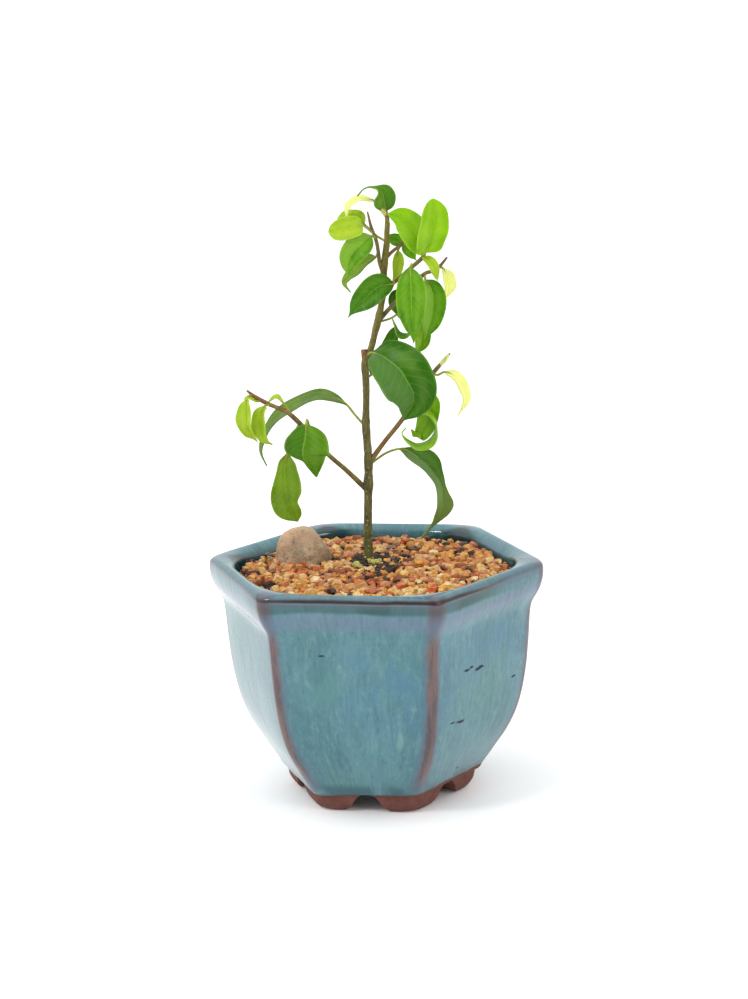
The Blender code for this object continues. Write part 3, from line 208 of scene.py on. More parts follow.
# One leaf: side gives the way its first half points, at the stalk and at the tip, other is the
# outline of its second half, and widths are shares of its half width for the two halves
Leaf = namedtuple("Leaf", "stalk rib half side fold curl outline finish other widths",
                  defaults=(None, (1, 1)))
LEAVES = {
    "left_broad": Leaf(
        [(-21.5, 5, 130), (-22.5, 1.5, 136)],
        [(-23, -1.5, 135), (-23.5, -3, 130.5), (-24.5, -3.5, 126), (-24, -3, 122), (-20, -1, 115.5)],
        8.6, ((-1, 0, 0.2), (-0.8, 0, -0.5)), 14, 12, "heart", "half_shaded", "oval", (0.82, 1.2)),
    "left_low": Leaf(
        [(-25.5, 4, 134.5), (-28, 3, 130)],
        [(-30, 1, 124), (-31.5, 0.5, 119.5), (-31.5, 0, 113.5), (-30.5, 0.5, 105), (-27.5, 2, 98.5)],
        6.0, ((-1, 0.1, 0.3), (-0.9, 0, -0.4)), 5, 15, "late", "olive", "wavy"),
    "left_end": Leaf(
        [(-42, 2, 146), (-43, 1.5, 145.5)],
        [(-44, 0.5, 144.5), (-44, -1, 140), (-44, -1, 135.5), (-42.5, 1, 131), (-41, 2.5, 128.5)],
        4.1, ((-0.8, 0.6, -0.1), (-0.5, 0.4, -0.1)), 28, 10, "ovate", "yellow_green"),
    "left_middle": Leaf(
        [(-35.5, 2.5, 142), (-37, 1.5, 142)],
        [(-37.5, 0.5, 142), (-39, -1.5, 138.5), (-39, -1.5, 133.5), (-38, -0.5, 129.5), (-35.5, 1, 127.5)],
        3.6, ((-0.7, 0.5, 0), (-0.4, 0.3, -0.3)), 26, 10, "long", "yellow_green"),
    "left_upturned": Leaf(
        [(-28.5, 3.5, 138), (-30, 3.5, 140.5)],
        [(-31, 4, 142), (-33, 5, 144), (-34.5, 5.5, 144), (-36.5, 5, 142.5)],
        1.7, ((0, 1, 0.2), (0, 1, 0.3)), 10, 0, "oval", "yellow_green"),
    "left_bud": Leaf(
        [(-38, 2.5, 143.5), (-39.5, 2, 143.5)],
        [(-40.5, 1.5, 143.5), (-43, 1, 145), (-45, 0.5, 144.5)],
        1.4, ((0, 1, 0.3), (0, 1, 0.3)), 10, 0, "round", "yellow_green"),
    "long_left": Leaf(
        [(-1.5, 8, 131.5), (-5.5, 10, 136)],
        [(-8.5, 12, 139.5), (-12.5, 13.5, 141.5), (-18, 15, 142.5), (-24, 16, 141), (-30, 16, 138),
         (-35, 15.5, 134), (-39, 15, 128.5), (-40.5, 14, 122.5), (-38.5, 13.5, 117)],
        5.3, ((0, 1, 0.3), (-0.4, 0.9, 0)), 0, 8, "long", "dull_green"),
    "long_right": Leaf(
        [(-1, 9, 117), (5.5, 11, 121)],
        [(11, 13, 122), (15, 14.5, 120), (18, 16, 117.5), (20.5, 17.5, 115), (23, 19, 111.5),
         (25.5, 20.5, 107.5), (26.5, 22.5, 102), (26.5, 25, 96.5), (24.5, 27, 92), (22, 28.5, 88.5),
         (18, 30, 83.5)],
        5.2, ((-0.5, -0.3, -0.8), (-0.8, -0.3, 0.6)), 10, 5, "narrow", "long_blade", "waisted"),
    "right_curled": Leaf(
        [(11.5, 6, 134), (14.5, 6, 135)],
        [(17.5, 6, 136), (21, 6.5, 136.5), (24, 7, 133), (24, 7, 128.5), (21.5, 6.5, 125),
         (17, 5.5, 124), (13.5, 4.5, 126.5), (11.5, 4, 129.5), (13, 4, 131.5)],
        3.6, ((0, -1, -0.3), (0, -1, -0.3)), 0, 0, "long", "fresh_green"),
    "right_inner": Leaf(
        [(18, 5, 143.5), (20, 6.5, 145)],
        [(22, 8, 144.5), (22.5, 10, 139.5), (21.5, 10.5, 135), (20, 10.5, 130), (17.5, 9.5, 127),
         (15, 8.5, 130)],
        3.9, ((-1, 0, -0.1), (-0.9, 0.2, 0.3)), 8, 10, "oval", "fresh_green"),
    "right_pale": Leaf(
        [(23.5, 4, 151), (25, 4.5, 150.5)],
        [(27.5, 5, 151.5), (31.5, 6, 149.5), (34.5, 7, 144.5), (35, 7, 140), (32, 6, 135)],
        2.8, ((-0.4, -0.8, -0.5), (-0.7, -0.6, 0.2)), 8, 0, "long", "pale_yellow"),
    "front_broad": Leaf(
        [(-0.5, 7, 157.5), (0.5, 5.5, 159)],
        [(1.5, 4, 159.5), (4.5, -2, 159.5), (8, -5.5, 157.5), (11.5, -8, 154.5), (13.5, -9, 151),
         (15.5, -9, 147), (15.5, -7.5, 142.5), (12.5, -5, 136.5)],
        9.8, ((-0.6, -0.2, -0.8), (-0.8, -0.1, 0)), 5, 12, "taper", "half_sheen"),
    "behind_trunk": Leaf(
        [(-1, 7.2, 149.5), (0, 8, 150.2)],
        [(1, 9, 150.5), (4.5, 11, 155), (8, 11.5, 160.5), (10, 11, 167.5)],
        3.0, ((0.8, -0.3, -0.5), (0.9, -0.2, -0.3)), 10, 0, "round", "deep_green"),
    "upper_pale": Leaf(
        [(25.5, 9, 188), (27, 8.5, 189)],
        [(28, 7.5, 188.5), (29, 7, 185.5), (29.5, 7, 182), (29, 8, 178)],
        3.2, ((-0.8, -0.6, 0), (-0.8, -0.6, 0)), 26, 10, "oval", "pale_yellow"),
    "upper_right": Leaf(
        [(21, 9, 186.5), (21.5, 8.5, 185.5)],
        [(21.5, 8, 184.5), (23.5, 6, 181.5), (24, 4.5, 177.5), (23.5, 4, 172), (22, 4, 167),
         (20.5, 5, 163)],
        4.7, ((-0.8, -0.2, -0.4), (-0.9, -0.1, 0.3)), 6, 15, "ovate", "half_lit"),
    "upper_right_low": Leaf(
        [(15, 8.5, 181), (17.5, 9, 176)],
        [(19.5, 9, 170), (20, 9, 165.5), (19.5, 9, 161.5), (17.5, 9, 158)],
        3.1, ((-1, -0.1, -0.1), (-0.9, -0.2, 0.5)), 8, 15, "oval", "fresh_green"),
    "rolled": Leaf(
        [(3.7, 6.4, 170), (8.5, 5, 171.5)],
        [(11, 4, 173), (13.5, 1.5, 172), (15, 1, 169.5), (14.5, 0.5, 166.5), (11.5, 0, 166.5),
         (9, 0, 172.5)],
        2.4, ((0, -0.9, -0.4), (-0.4, -0.8, -0.2)), 8, 0, "long", "mid_green"),
    "upper_right_small": Leaf(
        [(15, 8.5, 181), (14.5, 9.5, 181)],
        [(14, 10, 180), (11, 12, 178), (10.5, 12, 175), (11, 11.5, 171.5)],
        2.7, ((-0.4, 0.3, 0.7), (-1, 0.2, -0.2)), 8, 10, "ovate", "deep_green"),
    "crossing_trunk": Leaf(
        [(9.5, 4.3, 184), (10, 2, 185)],
        [(10, -0.5, 184.5), (4.5, -3, 184), (0, -4, 180.5), (-3.5, -4, 177.5), (-6.5, -3, 173.5)],
        4.9, ((-0.2, 0.2, 0.8), (-0.7, 0.2, 0.6)), 8, 12, "ovate", "deep_green"),
    "upper_middle": Leaf(
        [(16.5, 1.5, 190), (16.5, -1.5, 191.5)],
        [(16, -3.5, 190.5), (16, -5.5, 183), (16, -4.5, 174), (16.5, -2.5, 163.5)],
        5.6, ((-1, 0, 0), (-1, 0, 0)), 10, 15, "ovate", "mid_green"),
    "top_leaning": Leaf(
        [(21, 0, 194), (20.5, -0.5, 194)],
        [(20.5, -1.5, 194.5), (19, -3, 200), (17, -3.5, 204), (13.5, -3, 208), (8.5, -1.5, 209.5)],
        5.3, ((0.9, 0.1, 0.3), (0.3, 0.2, 0.9)), 8, 15, "oval", "lime"),
    "top_upright": Leaf(
        [(21, 0, 194.5), (21.5, -0.5, 195)],
        [(21.5, -1, 195.5), (23, -4, 201), (24.5, -5, 208), (24.5, -4, 214.5)],
        5.8, ((0.8, 0.3, 0), (0.9, 0.3, -0.1)), 18, 8, "round", "lime"),
    "top_small": Leaf(
        [(20.5, 0.5, 193.5), (20.5, -0.5, 193.5)],
        [(20.5, -1, 194), (23, -3, 192.5), (24.5, -3.5, 190), (25.5, -2.5, 185.5)],
        1.9, ((-0.6, -0.4, -0.5), (-0.9, -0.3, -0.3)), 12, 0, "oval", "yellow_green"),
    "twig_right": Leaf(
        [(12.5, 8, 197), (13.5, 8.7, 197.8)],
        [(14, 9, 198), (16, 9.5, 195), (18.5, 9, 191.5)],
        2.1, ((-0.8, -0.2, -0.6), (-0.8, -0.2, -0.6)), 8, 0, "ovate", "mid_green"),
    "twig_hanging": Leaf(
        [(13.5, 8.5, 197.5), (12.5, 8.5, 196.5)],
        [(12, 8, 195.5), (11.5, 8.5, 191.5), (11, 8.5, 187.5), (9.5, 8.5, 184)],
        2.6, ((-1, -0.1, 0.1), (-0.9, 0, 0.3)), 10, 10, "ovate", "yellow_green", None, (0.6, 1)),
    "twig_left": Leaf(
        [(12.5, 8, 197), (13.5, 8.7, 197.8)],
        [(14, 9, 198), (11.5, 9.5, 199), (8, 9, 200.5)],
        2.3, ((0.5, 0.4, 0.8), (0.3, 0.4, 0.8)), 8, 0, "oval", "mid_green"),
    "leader_outer": Leaf(
        [(3.5, 4, 202), (1.5, 3, 204)],
        [(-0.5, 2, 205.5), (-4.5, 0, 205), (-9, 0, 204), (-12.5, 1, 203.5)],
        4.0, ((-0.3, 0.2, 0.8), (-0.1, 0.1, 1)), 5, 15, "round", "yellow_green"),
    "crown_side": Leaf(
        [(8, 5, 199), (4.5, 7, 201), (2, 7, 203.5)],
        [(0, 6, 205.5), (-1.5, 7, 208), (-5, 7.5, 208.5), (-7.5, 7, 207.5), (-9, 6, 206)],
        2.6, ((0, 0.8, 0.5), (0, 0.8, 0.5)), 8, 10, "round", "yellow_green"),
    "leader_broad": Leaf(
        [(4, 4.2, 200.5), (3.5, 3, 201)],
        [(2.5, 2.5, 201.5), (-1, 0, 199), (-4.5, -1, 195.5), (-6, -1, 191.5), (-6, 0, 187.5)],
        4.7, ((-0.6, 0.2, 0.7), (-1, 0.1, 0.1)), 8, 12, "ovate", "half_lit"),
    "leader_narrow": Leaf(
        [(4.9, 4.7, 195.5), (4.6, 6, 195)],
        [(4, 7, 193.5), (0.5, 8.5, 192), (-4, 9, 188), (-7.5, 8.5, 184.5), (-5.5, 7.5, 181)],
        3.2, ((-0.4, 0.8, 0.4), (-0.6, 0.8, 0.1)), 8, 5, "long", "olive"),
    "crown_hooked": Leaf(
        [(8.4, 4.6, 207), (8, 4.5, 209)],
        [(8, 4.5, 210), (7.5, 3, 213.5), (6.5, 2.5, 217), (3.5, 3, 218.5), (0.5, 3.5, 218),
         (-2, 3.5, 215.5)],
        4.4, ((1, -0.1, 0), (-0.3, 1, 0.1)), 14, 15, "drip", "half_shaded"),
    "crown_pale": Leaf(
        [(8.4, 4.6, 207.5), (6, 5.5, 210.5)],
        [(4, 6, 213.5), (-0.5, 6, 214.5), (-3.5, 5.5, 213.5), (-5.5, 4.5, 211.5), (-6, 3.3, 208)],
        2.2, ((0, 0.9, 0.4), (-0.3, 0.8, 0.3)), 5, 10, "oval", "pale_yellow"),
}

# Woody stems of the leafy shoots, each starting inside the trunk
SHOOTS = {
    "left_branch": (
        [(-1.3, 9.5, 107, 1.0), (-4, 9.4, 110, 1.0), (-9.5, 8, 116, 0.9), (-15.5, 6.5, 122, 0.85),
         (-21.5, 5, 129.5, 0.85), (-25.5, 4, 134.5, 0.95), (-30, 3, 139, 0.85), (-36, 2.5, 142, 0.8),
         (-41, 2.1, 145, 0.75), (-44, 2, 147.5, 0.35)],
        ["left_broad", "left_low", "left_end", "left_middle", "left_upturned", "left_bud"]),
    "right_branch": (
        [(-1, 9.2, 117.5, 1.0), (1.5, 8.8, 121, 0.95), (5.5, 7.5, 126.5, 0.85), (11.5, 6, 134, 0.85),
         (18, 5, 143.5, 0.85), (23.5, 4, 151.5, 0.8), (27.5, 3.3, 156, 0.7), (29.5, 3, 158.5, 0.35)],
        ["right_curled", "right_inner", "right_pale"]),
    "upper_right_branch": (
        [(4.4, 6.2, 170.8, 0.9), (6.5, 6.4, 173, 0.85), (9, 7, 175.5, 0.8), (15, 8.5, 181, 0.8),
         (21, 9, 186.5, 0.75), (24, 9, 187.5, 0.7), (26.5, 8.5, 189, 0.65), (29.5, 8, 192.5, 0.35)],
        ["upper_pale", "upper_right", "upper_right_low", "upper_right_small"]),
    "upper_branch": (
        [(6.5, 6, 181.5, 0.8), (9.5, 4.3, 184, 0.75), (12.5, 3, 186.5, 0.75), (16.5, 1.5, 190, 0.75),
         (20, 0.5, 193, 0.75), (21.4, -0.2, 195, 0.5)],
        ["upper_middle", "crossing_trunk", "top_leaning", "top_upright", "top_small"]),
    "small_twig": (
        [(7.2, 5.2, 192.5, 0.65), (9.5, 6.3, 195, 0.65), (12.5, 8, 197, 0.6), (14.3, 9.2, 198.4, 0.5)],
        ["twig_right", "twig_hanging", "twig_left"]),
    "left_leader": (
        [(6.5, 5.5, 187.5, 0.75), (5.3, 5.1, 191.5, 0.75), (4.9, 4.7, 195.5, 0.7), (4.4, 4.4, 199, 0.7),
         (3.5, 4, 202, 0.65), (2.5, 4, 205, 0.55), (1.5, 3.5, 210, 0.3)],
        ["leader_outer", "leader_broad", "leader_narrow"]),
    "crown_shoot": (
        [(8.3, 4.7, 204.5, 0.9), (8.4, 4.6, 207.3, 0.85), (8, 4.5, 210, 0.6)],
        ["crown_hooked", "crown_pale"]),
}

# Dry stalk that lies in the gravel
DRY_STALK = [(-40.6, 12.6, 80.4, 0.3), (-39.9, 12.2, 82.2, 0.3), (-39.0, 11.4, 82.8, 0.3),
             (-38.1, 10.3, 82.3, 0.28), (-37.1, 8.6, 81.4, 0.25), (-36.0, 6.8, 80.4, 0.2)]

# Pale sheaths that still wrap the youngest tips
SHEATHS = {
    "right_branch": [(25.6, 3.65, 153.9, 0.7), (27.5, 3.3, 156, 0.82), (28.8, 3.1, 157.7, 0.6),
                     (29.6, 3, 158.7, 0.25)],
    "crown_shoot": [(8.1, 4.5, 208.4, 0.6), (7.2, 4.3, 209.9, 0.95), (5.8, 4.1, 211.4, 0.8),
                    (4.2, 4.0, 213.1, 0.35)],
}

# Leaves whose stalks spring straight from the trunk
TRUNK_LEAVES = {
    "long_left_leaf": "long_left",
    "long_right_leaf": "long_right",
    "front_leaf": "front_broad",
    "back_leaf": "behind_trunk",
    "rolled_leaf": "rolled",
    "crown_side_leaf": "crown_side",
}
BLADE = 0.45  # leaf thickness
LEAST_HALF = 0.14  # half width of a blade where it is narrowest
FOLD_FADES_BELOW = 2.5  # a blade's fold flattens out where its half width is under this
RIPPLE = 0.05  # height of the waves along a blade's edge, as a share of its half width
BLADE_GRID = {"x_subdivisions": 34, "y_subdivisions": 12, "size": 2}
LEAF_CREASE = math.radians(60)
STALK = 0.45  # a leaf stalk's radius
STALK_SUNK = 0.2  # it runs on inside the blade for this share of the rib
STALK_END = 0.22  # and has this radius there
STEM_STEP = 0.8  # distance between a stem's rings
STEM_WELD = 0.01  # points nearer than this become one
STEM_LUMPS = 0.06


def colour(*shown):
    """A colour as a picture holds it, from 0 to 255, as the linear colour a shader takes."""
    linear = []
    for part in shown:
        part = part / 255
        linear.append(part / 12.92 if part <= 0.04045 else ((part + 0.055) / 1.055) ** 2.4)
    return (*linear, 1.0)


# Tones

WHITE = (1, 1, 1, 1)
LEAF_TONES = {  # blade, shade, rib, which is also the tone of the painted sheen, light through the blade
    "deep_green": ((72, 130, 4), (38, 90, 0), (128, 172, 70), (96, 160, 0)),
    "mid_green": ((98, 158, 0), (56, 118, 0), (168, 206, 84), (130, 190, 0)),
    "fresh_green": ((130, 184, 6), (84, 146, 0), (182, 214, 90), (150, 204, 0)),
    "half_shaded": ((94, 142, 14), (76, 126, 6), (150, 186, 90), (110, 170, 0)),
    "half_sheen": ((52, 108, 2), (36, 90, 0), (134, 172, 76), (96, 160, 0)),
    "long_blade": ((78, 126, 34), (56, 108, 12), (140, 172, 96), (100, 160, 10)),
    "dull_green": ((94, 128, 8), (66, 104, 0), (150, 176, 92), (100, 160, 0)),
    "half_lit": ((100, 160, 2), (62, 122, 0), (160, 200, 80), (124, 184, 0)),
    "olive": ((122, 160, 20), (92, 134, 12), (166, 190, 92), (130, 170, 10)),
    "lime": ((146, 196, 4), (120, 178, 2), (196, 222, 84), (180, 226, 4)),
    "yellow_green": ((176, 204, 40), (140, 180, 24), (220, 230, 110), (196, 226, 20)),
    "pale_yellow": ((246, 246, 172), (232, 238, 132), (240, 242, 190), (246, 250, 150)),
}
HALF_LIGHT_AND_SHADE = {  # painted light and shade on the blade's first half, where it differs: a paler tone is a painted sheen, a darker one is painted shade
    "fresh_green": (158, 200, 56), "half_shaded": (60, 118, 2), "half_sheen": (88, 130, 58),
    "long_blade": (116, 146, 88), "half_lit": (140, 186, 60),
}
LEAF_TIP = {"long_blade": (150, 182, 96)}
GROWN_LEAF = (0.36, 0.22)  # roughness, share of the light that passes
YOUNG_LEAF = {"lime": (0.38, 0.3), "yellow_green": (0.38, 0.3), "pale_yellow": (0.42, 0.36)}
SKIN_TONES = {  # dark, light, flush
    "stalk": ((112, 124, 34), (158, 170, 66), (140, 130, 50)),
    "sheath": ((170, 186, 84), (222, 228, 156), (196, 176, 96)),
    "twig": ((78, 64, 26), (136, 120, 58), (120, 70, 34)),
}
GRAINY = {  # dark, light, scales of the spots, relief's scales, depth and strength, roughness, stretch
    "old_cut_wood": ((84, 46, 24), (148, 96, 56), (600.0, 2400.0), (900.0, 2800.0, 0.0003, 0.5), 0.7, 0.4),
    "moss": ((132, 132, 48), (214, 206, 120), (900.0, 3000.0), (1200.0, 3600.0, 0.0005, 0.9), 0.9, 1),
    "damp_soil": ((30, 24, 20), (72, 56, 42), (900.0, 2800.0), (900.0, 2600.0, 0.0006, 0.9), 0.85, 1),
    "black_plastic": ((30, 30, 30), (44, 44, 44), (400.0, 1500.0), (900.0, 3000.0, 0.0001, 0.5), 0.55, 1),
}
GRAIN_TONES = [  # share of the mix, colour
    (0.0, (34, 24, 16)), (0.07, (84, 50, 28)), (0.16, (134, 76, 38)), (0.26, (176, 100, 52)),
    (0.34, (216, 112, 52)), (0.43, (206, 138, 72)), (0.52, (218, 162, 86)), (0.6, (230, 170, 68)),
    (0.7, (232, 192, 112)), (0.8, (208, 152, 106)), (0.9, (242, 210, 136)), (1.0, (246, 228, 178)),
]
GLAZE_ROUND = 0.05  # reach in metres at which the glaze's pattern is laid round the pot
GLAZE_DEEP = colour(58, 108, 118)
GLAZE_PALE = colour(76, 124, 134)
GLAZE_BLUE = colour(58, 108, 134)
GLAZE_GREEN = colour(66, 122, 116)
GLAZE_MILKY = colour(134, 170, 156)
GLAZE_DARK = colour(38, 84, 92)
GLAZE_UNDER_RIM = colour(6, 68, 66)
GLAZE_LAVENDER = colour(98, 104, 134)
GLAZE_POOL = colour(32, 78, 88)
GLAZE_HALO = colour(78, 78, 98)
# painted shade on the inner wall
GLAZE_INSIDE_SHADE = colour(6, 52, 58)
GLAZE_CLOUDS = [  # angle round the pot, height, half width, height over width, share, tone
    (-87.8, 60.4, 6.5, 1.3, 0.5, GLAZE_BLUE),
    (-71.5, 53.5, 7.5, 1.4, 0.6, GLAZE_BLUE),
    (-101.0, 50.0, 9.0, 1.3, 0.5, GLAZE_GREEN),
    (-104.0, 54.0, 5.0, 1.2, 0.35, GLAZE_DARK),
    (-71.6, 31.0, 1.7, 6.5, 0.34, GLAZE_MILKY),
    (-20.0, 62.0, 8.0, 1.2, 0.5, GLAZE_BLUE),
    (-38.0, 48.0, 9.0, 1.5, 0.4, GLAZE_PALE),
]
GLAZE_PITS = [  # angle round the pot, height, size
    (-40.7, 52.5, 2.2), (-38.2, 53.0, 1.6), (-32.1, 51.7, 3.0), (-33.6, 51.2, 2.2), (-8.2, 42.6, 1.7),
    (-48.3, 34.2, 1.6), (-44.4, 33.6, 1.8), (-42.7, 33.3, 2.4), (-31.0, 11.1, 1.5), (-102.5, 61.9, 1.5),
]
BRINK = (53.8, 82.4)  # the rim's outer top edge: distance from the middle, height
DIP_SLOPE = 0.06  # the glaze's lower edge rises this much towards the right


# Fields and nodes

class Field:
    """A node's output: a number, colour, place or shader, so that a finish reads as a formula."""

    def __init__(self, socket):
        self.socket = socket
        self.tree = socket.id_data

    def __add__(self, other):
        return maths("ADD", self, other)

    def __sub__(self, other):
        return maths("SUBTRACT", self, other)

    def __rsub__(self, other):
        return maths("SUBTRACT", other, self)

    def __mul__(self, other):
        return maths("MULTIPLY", self, other)

    def __truediv__(self, other):
        return maths("DIVIDE", self, other)

    __radd__ = __add__
    __rmul__ = __mul__


def new_node(tree, kind, inputs=None, **settings):
    made = tree.nodes.new("ShaderNode" + kind)
    for name, value in settings.items():
        setattr(made, name, value)
    for name, value in (inputs or {}).items():
        if isinstance(value, Field):
            tree.links.new(value.socket, made.inputs[name])
        else:
            made.inputs[name].default_value = value
    return made


def tree_of(inputs):
    return next(value.tree for value in inputs.values() if isinstance(value, Field))


def worked(kind, inputs, output=0, **settings):
    """What a node makes of its inputs."""
    return Field(new_node(tree_of(inputs), kind, inputs, **settings).outputs[output])


def placed(group, inputs):
    """What a group makes of its inputs, by name."""
    made = new_node(tree_of(inputs), "Group", inputs, node_tree=group)
    return {output.name: Field(output) for output in made.outputs}


def maths(operation, first, second=0.0, clamp=False):
    return worked("Math", {0: first, 1: second}, operation=operation, use_clamp=clamp)


def without(share):
    """What a share leaves of the whole."""
    return maths("SUBTRACT", 1.0, share, clamp=True)


def parts(where):
    """Right, depth and height of a place."""
    return [Field(output) for output in new_node(where.tree, "SeparateXYZ", {0: where}).outputs]


def joined(right, deep, height=0.0):
    return worked("CombineXYZ", {0: right, 1: deep, 2: height})


def length(where):
    return worked("VectorMath", {0: where}, "Value", operation="LENGTH")


def blended(share, first, second, how="MIX"):
    """Colour that goes from the first to the second as share goes from 0 to 1."""
    return worked("Mix", {0: share, 6: first, 7: second}, 2, data_type="RGBA", blend_type=how)


def between(value, low, high, start=0.0, end=1.0):
    """Soft step of value from low to high."""
    inputs = {"Value": value, "From Min": low, "From Max": high, "To Min": start, "To Max": end}
    return worked("MapRange", inputs, interpolation_type="SMOOTHSTEP")


def clouds(where, scale, detail=3.0, roughness=0.55):
    inputs = {"Vector": where, "Scale": scale, "Detail": detail, "Roughness": roughness}
    return worked("TexNoise", inputs, "Fac")


def stretched(where, shape, shift=(0, 0, 0)):
    return worked("Mapping", {"Vector": where, "Scale": shape, "Location": shift})


def new_finish(name):
    """Empty material, and the place on the piece."""
    finish = bpy.data.materials.new(name)
    finish.use_nodes = True
    finish.node_tree.nodes.clear()
    return finish, Field(new_node(finish.node_tree, "TexCoord").outputs["Object"])


def finished(holder, shader, kind="Material"):
    """Ends a material or a world with its shader."""
    output = holder.node_tree.nodes.new("ShaderNodeOutput" + kind)
    holder.node_tree.links.new(shader.socket, output.inputs["Surface"])
    return holder


def new_group(name, inputs, outputs):
    """Shader group for an effect that several finishes use. An input that starts at None is a place."""
    group = bpy.data.node_groups.new(name, "ShaderNodeTree")
    for label, start in inputs.items():
        kind = "NodeSocketVector" if start is None else "NodeSocketFloat"
        socket = group.interface.new_socket(label, in_out="INPUT", socket_type=kind)
        if start is not None:
            socket.default_value = start
    for label in outputs:
        kind = "NodeSocketVector" if label == "Normal" else "NodeSocketFloat"
        group.interface.new_socket(label, in_out="OUTPUT", socket_type=kind)
    entry = group.nodes.new("NodeGroupInput")
    return group, [Field(entry.outputs[label]) for label in inputs]


def close_group(group, results):
    leave = group.nodes.new("NodeGroupOutput")
    for label, field in results.items():
        group.links.new(field.socket, leave.inputs[label])
    return group


def bumped(height, depth, strength):
    return worked("Bump", {"Height": height, "Distance": depth, "Strength": strength})


def make_mottle_group():
    """Two sizes of soft cloud, for stone, clay, soil and bark."""
    starts = {"Where": None, "Coarse": 200.0, "Fine": 1500.0, "Fine Share": 0.4}
    group, (where, coarse, fine, fine_share) = new_group("mottle", starts, ["Mottle", "Grain"])
    soft = between(clouds(where, coarse, 4.0, 0.6), 0.32, 0.68)
    sharp = between(clouds(where, fine, 3.0, 0.65), 0.3, 0.7)
    mixed = worked("Mix", {0: fine_share, 2: soft, 3: sharp}, data_type="FLOAT")
    return close_group(group, {"Mottle": mixed, "Grain": sharp})


def make_relief_group():
    """Bump from a height of two cloud sizes, for surfaces that aren't smooth."""
    starts = {"Where": None, "Coarse": 300.0, "Fine": 2000.0, "Depth": 0.0003, "Strength": 0.5}
    group, (where, coarse, fine, depth, strength) = new_group("relief", starts, ["Normal"])
    height = clouds(where, coarse, 4.0, 0.6) + clouds(where, fine, 2.0, 0.5) * 0.35
    return close_group(group, {"Normal": bumped(height, depth, strength)})


def make_vein_group():
    """Midrib and side veins by the blade's own map: x runs to the tip and y across."""
    group, (own_map,) = new_group("leaf_veins", {"Map": None}, ["Rib", "Veins", "Off Rib"])
    along, across, _ = parts(own_map)
    off_rib = maths("ABSOLUTE", across - 0.5)
    rib = without(between(off_rib, 0.0, (1.15 - along) * 0.035))
    turn = maths("FRACT", (along - off_rib * 0.42) * 11.0)
    veins = without(between(maths("ABSOLUTE", turn - 0.5), 0.0, 0.16))
    veins = veins * between(off_rib, 0.5, 0.36)
    return close_group(group, {"Rib": rib, "Veins": veins, "Off Rib": off_rib})


mottle = make_mottle_group()
relief = make_relief_group()
leaf_veins = make_vein_group()


def mottled(where, coarse, fine, fine_share):
    """Soft spots of two sizes, from 0 to 1."""
    inputs = {"Where": where, "Coarse": coarse, "Fine": fine, "Fine Share": fine_share}
    return placed(mottle, inputs)["Mottle"]


def rough(where, coarse, fine, depth, strength=0.5):
    """Normal of a surface with bumps of two sizes."""
    inputs = {"Where": where, "Coarse": coarse, "Fine": fine, "Depth": depth, "Strength": strength}
    return placed(relief, inputs)["Normal"]


def glossy(base, roughness, normal, coat=0.0, coat_roughness=0.05, shine=0.5):
    inputs = {"Base Color": base, "Roughness": roughness, "Normal": normal, "Coat Weight": coat,
              "Coat Roughness": coat_roughness, "Specular IOR Level": shine}
    if coat:
        inputs["Coat Normal"] = normal
    return worked("BsdfPrincipled", inputs)


def leaf_finish(name):
    """Waxy leaf of two greens, with the glow of light through it, painted sheen in patches and beside the
    midrib, painted light and shade on its first half, and a tinted tip.
    """
    blade, shade, rib, glow = [colour(*tone) for tone in LEAF_TONES[name]]
    roughness, through = YOUNG_LEAF.get(name, GROWN_LEAF)
    finish, where = new_finish("leaf_" + name)
    own_map = Field(new_node(where.tree, "TexCoord").outputs["UV"])
    along, across, _ = parts(own_map)
    marks = placed(leaf_veins, {"Map": own_map})
    ribbed, veined, off_rib = marks["Rib"], marks["Veins"], marks["Off Rib"]
    patches = placed(mottle, {"Where": where, "Coarse": 130.0, "Fine": 700.0, "Fine Share": 0.2})
    green = blended(between(patches["Mottle"], -0.2, 1.0), shade, blade)

    # Painted sheen in patches and a painted highlight beside the midrib, then painted light and shade on
    # the first half, and the tinted tip
    sheen_patches = between(clouds(where, 78.0, 2.0), 0.52, 0.68)
    sheen_beside_rib = between(off_rib, 0.06, 0.2) * between(off_rib, 0.38, 0.24)
    green = blended(sheen_patches * 0.14 + sheen_beside_rib * 0.16, green, rib)
    # Painted light and shade on one half of the folded blade: a paler tone paints sheen, a darker tone
    # paints shade
    if name in HALF_LIGHT_AND_SHADE:
        green = blended(between(across, 0.46, 0.56) * 0.7, green, colour(*HALF_LIGHT_AND_SHADE[name]))
    if name in LEAF_TIP:
        green = blended(between(along, 0.35, 0.7) * 0.8, green, colour(*LEAF_TIP[name]))

    # Margin, side veins and midrib, and the bump that goes with them
    for share in (between(off_rib, 0.455, 0.49) * 0.35, veined * 0.14, ribbed * 0.65):
        green = blended(share, green, rib)
    bump = bumped(patches["Mottle"] * 0.25 - ribbed - veined * 0.22, 0.00025, 0.6)
    waxy = between(patches["Grain"], 0.0, 1.0, roughness - 0.05, roughness + 0.07)
    surface = glossy(green, waxy, bump, 0.04, 0.14, 0.13)
    behind = worked("BsdfTranslucent", {"Color": blended(ribbed * 0.5, glow, rib), "Normal": bump})
    return finished(finish, worked("MixShader", {0: through, 1: surface, 2: behind}))


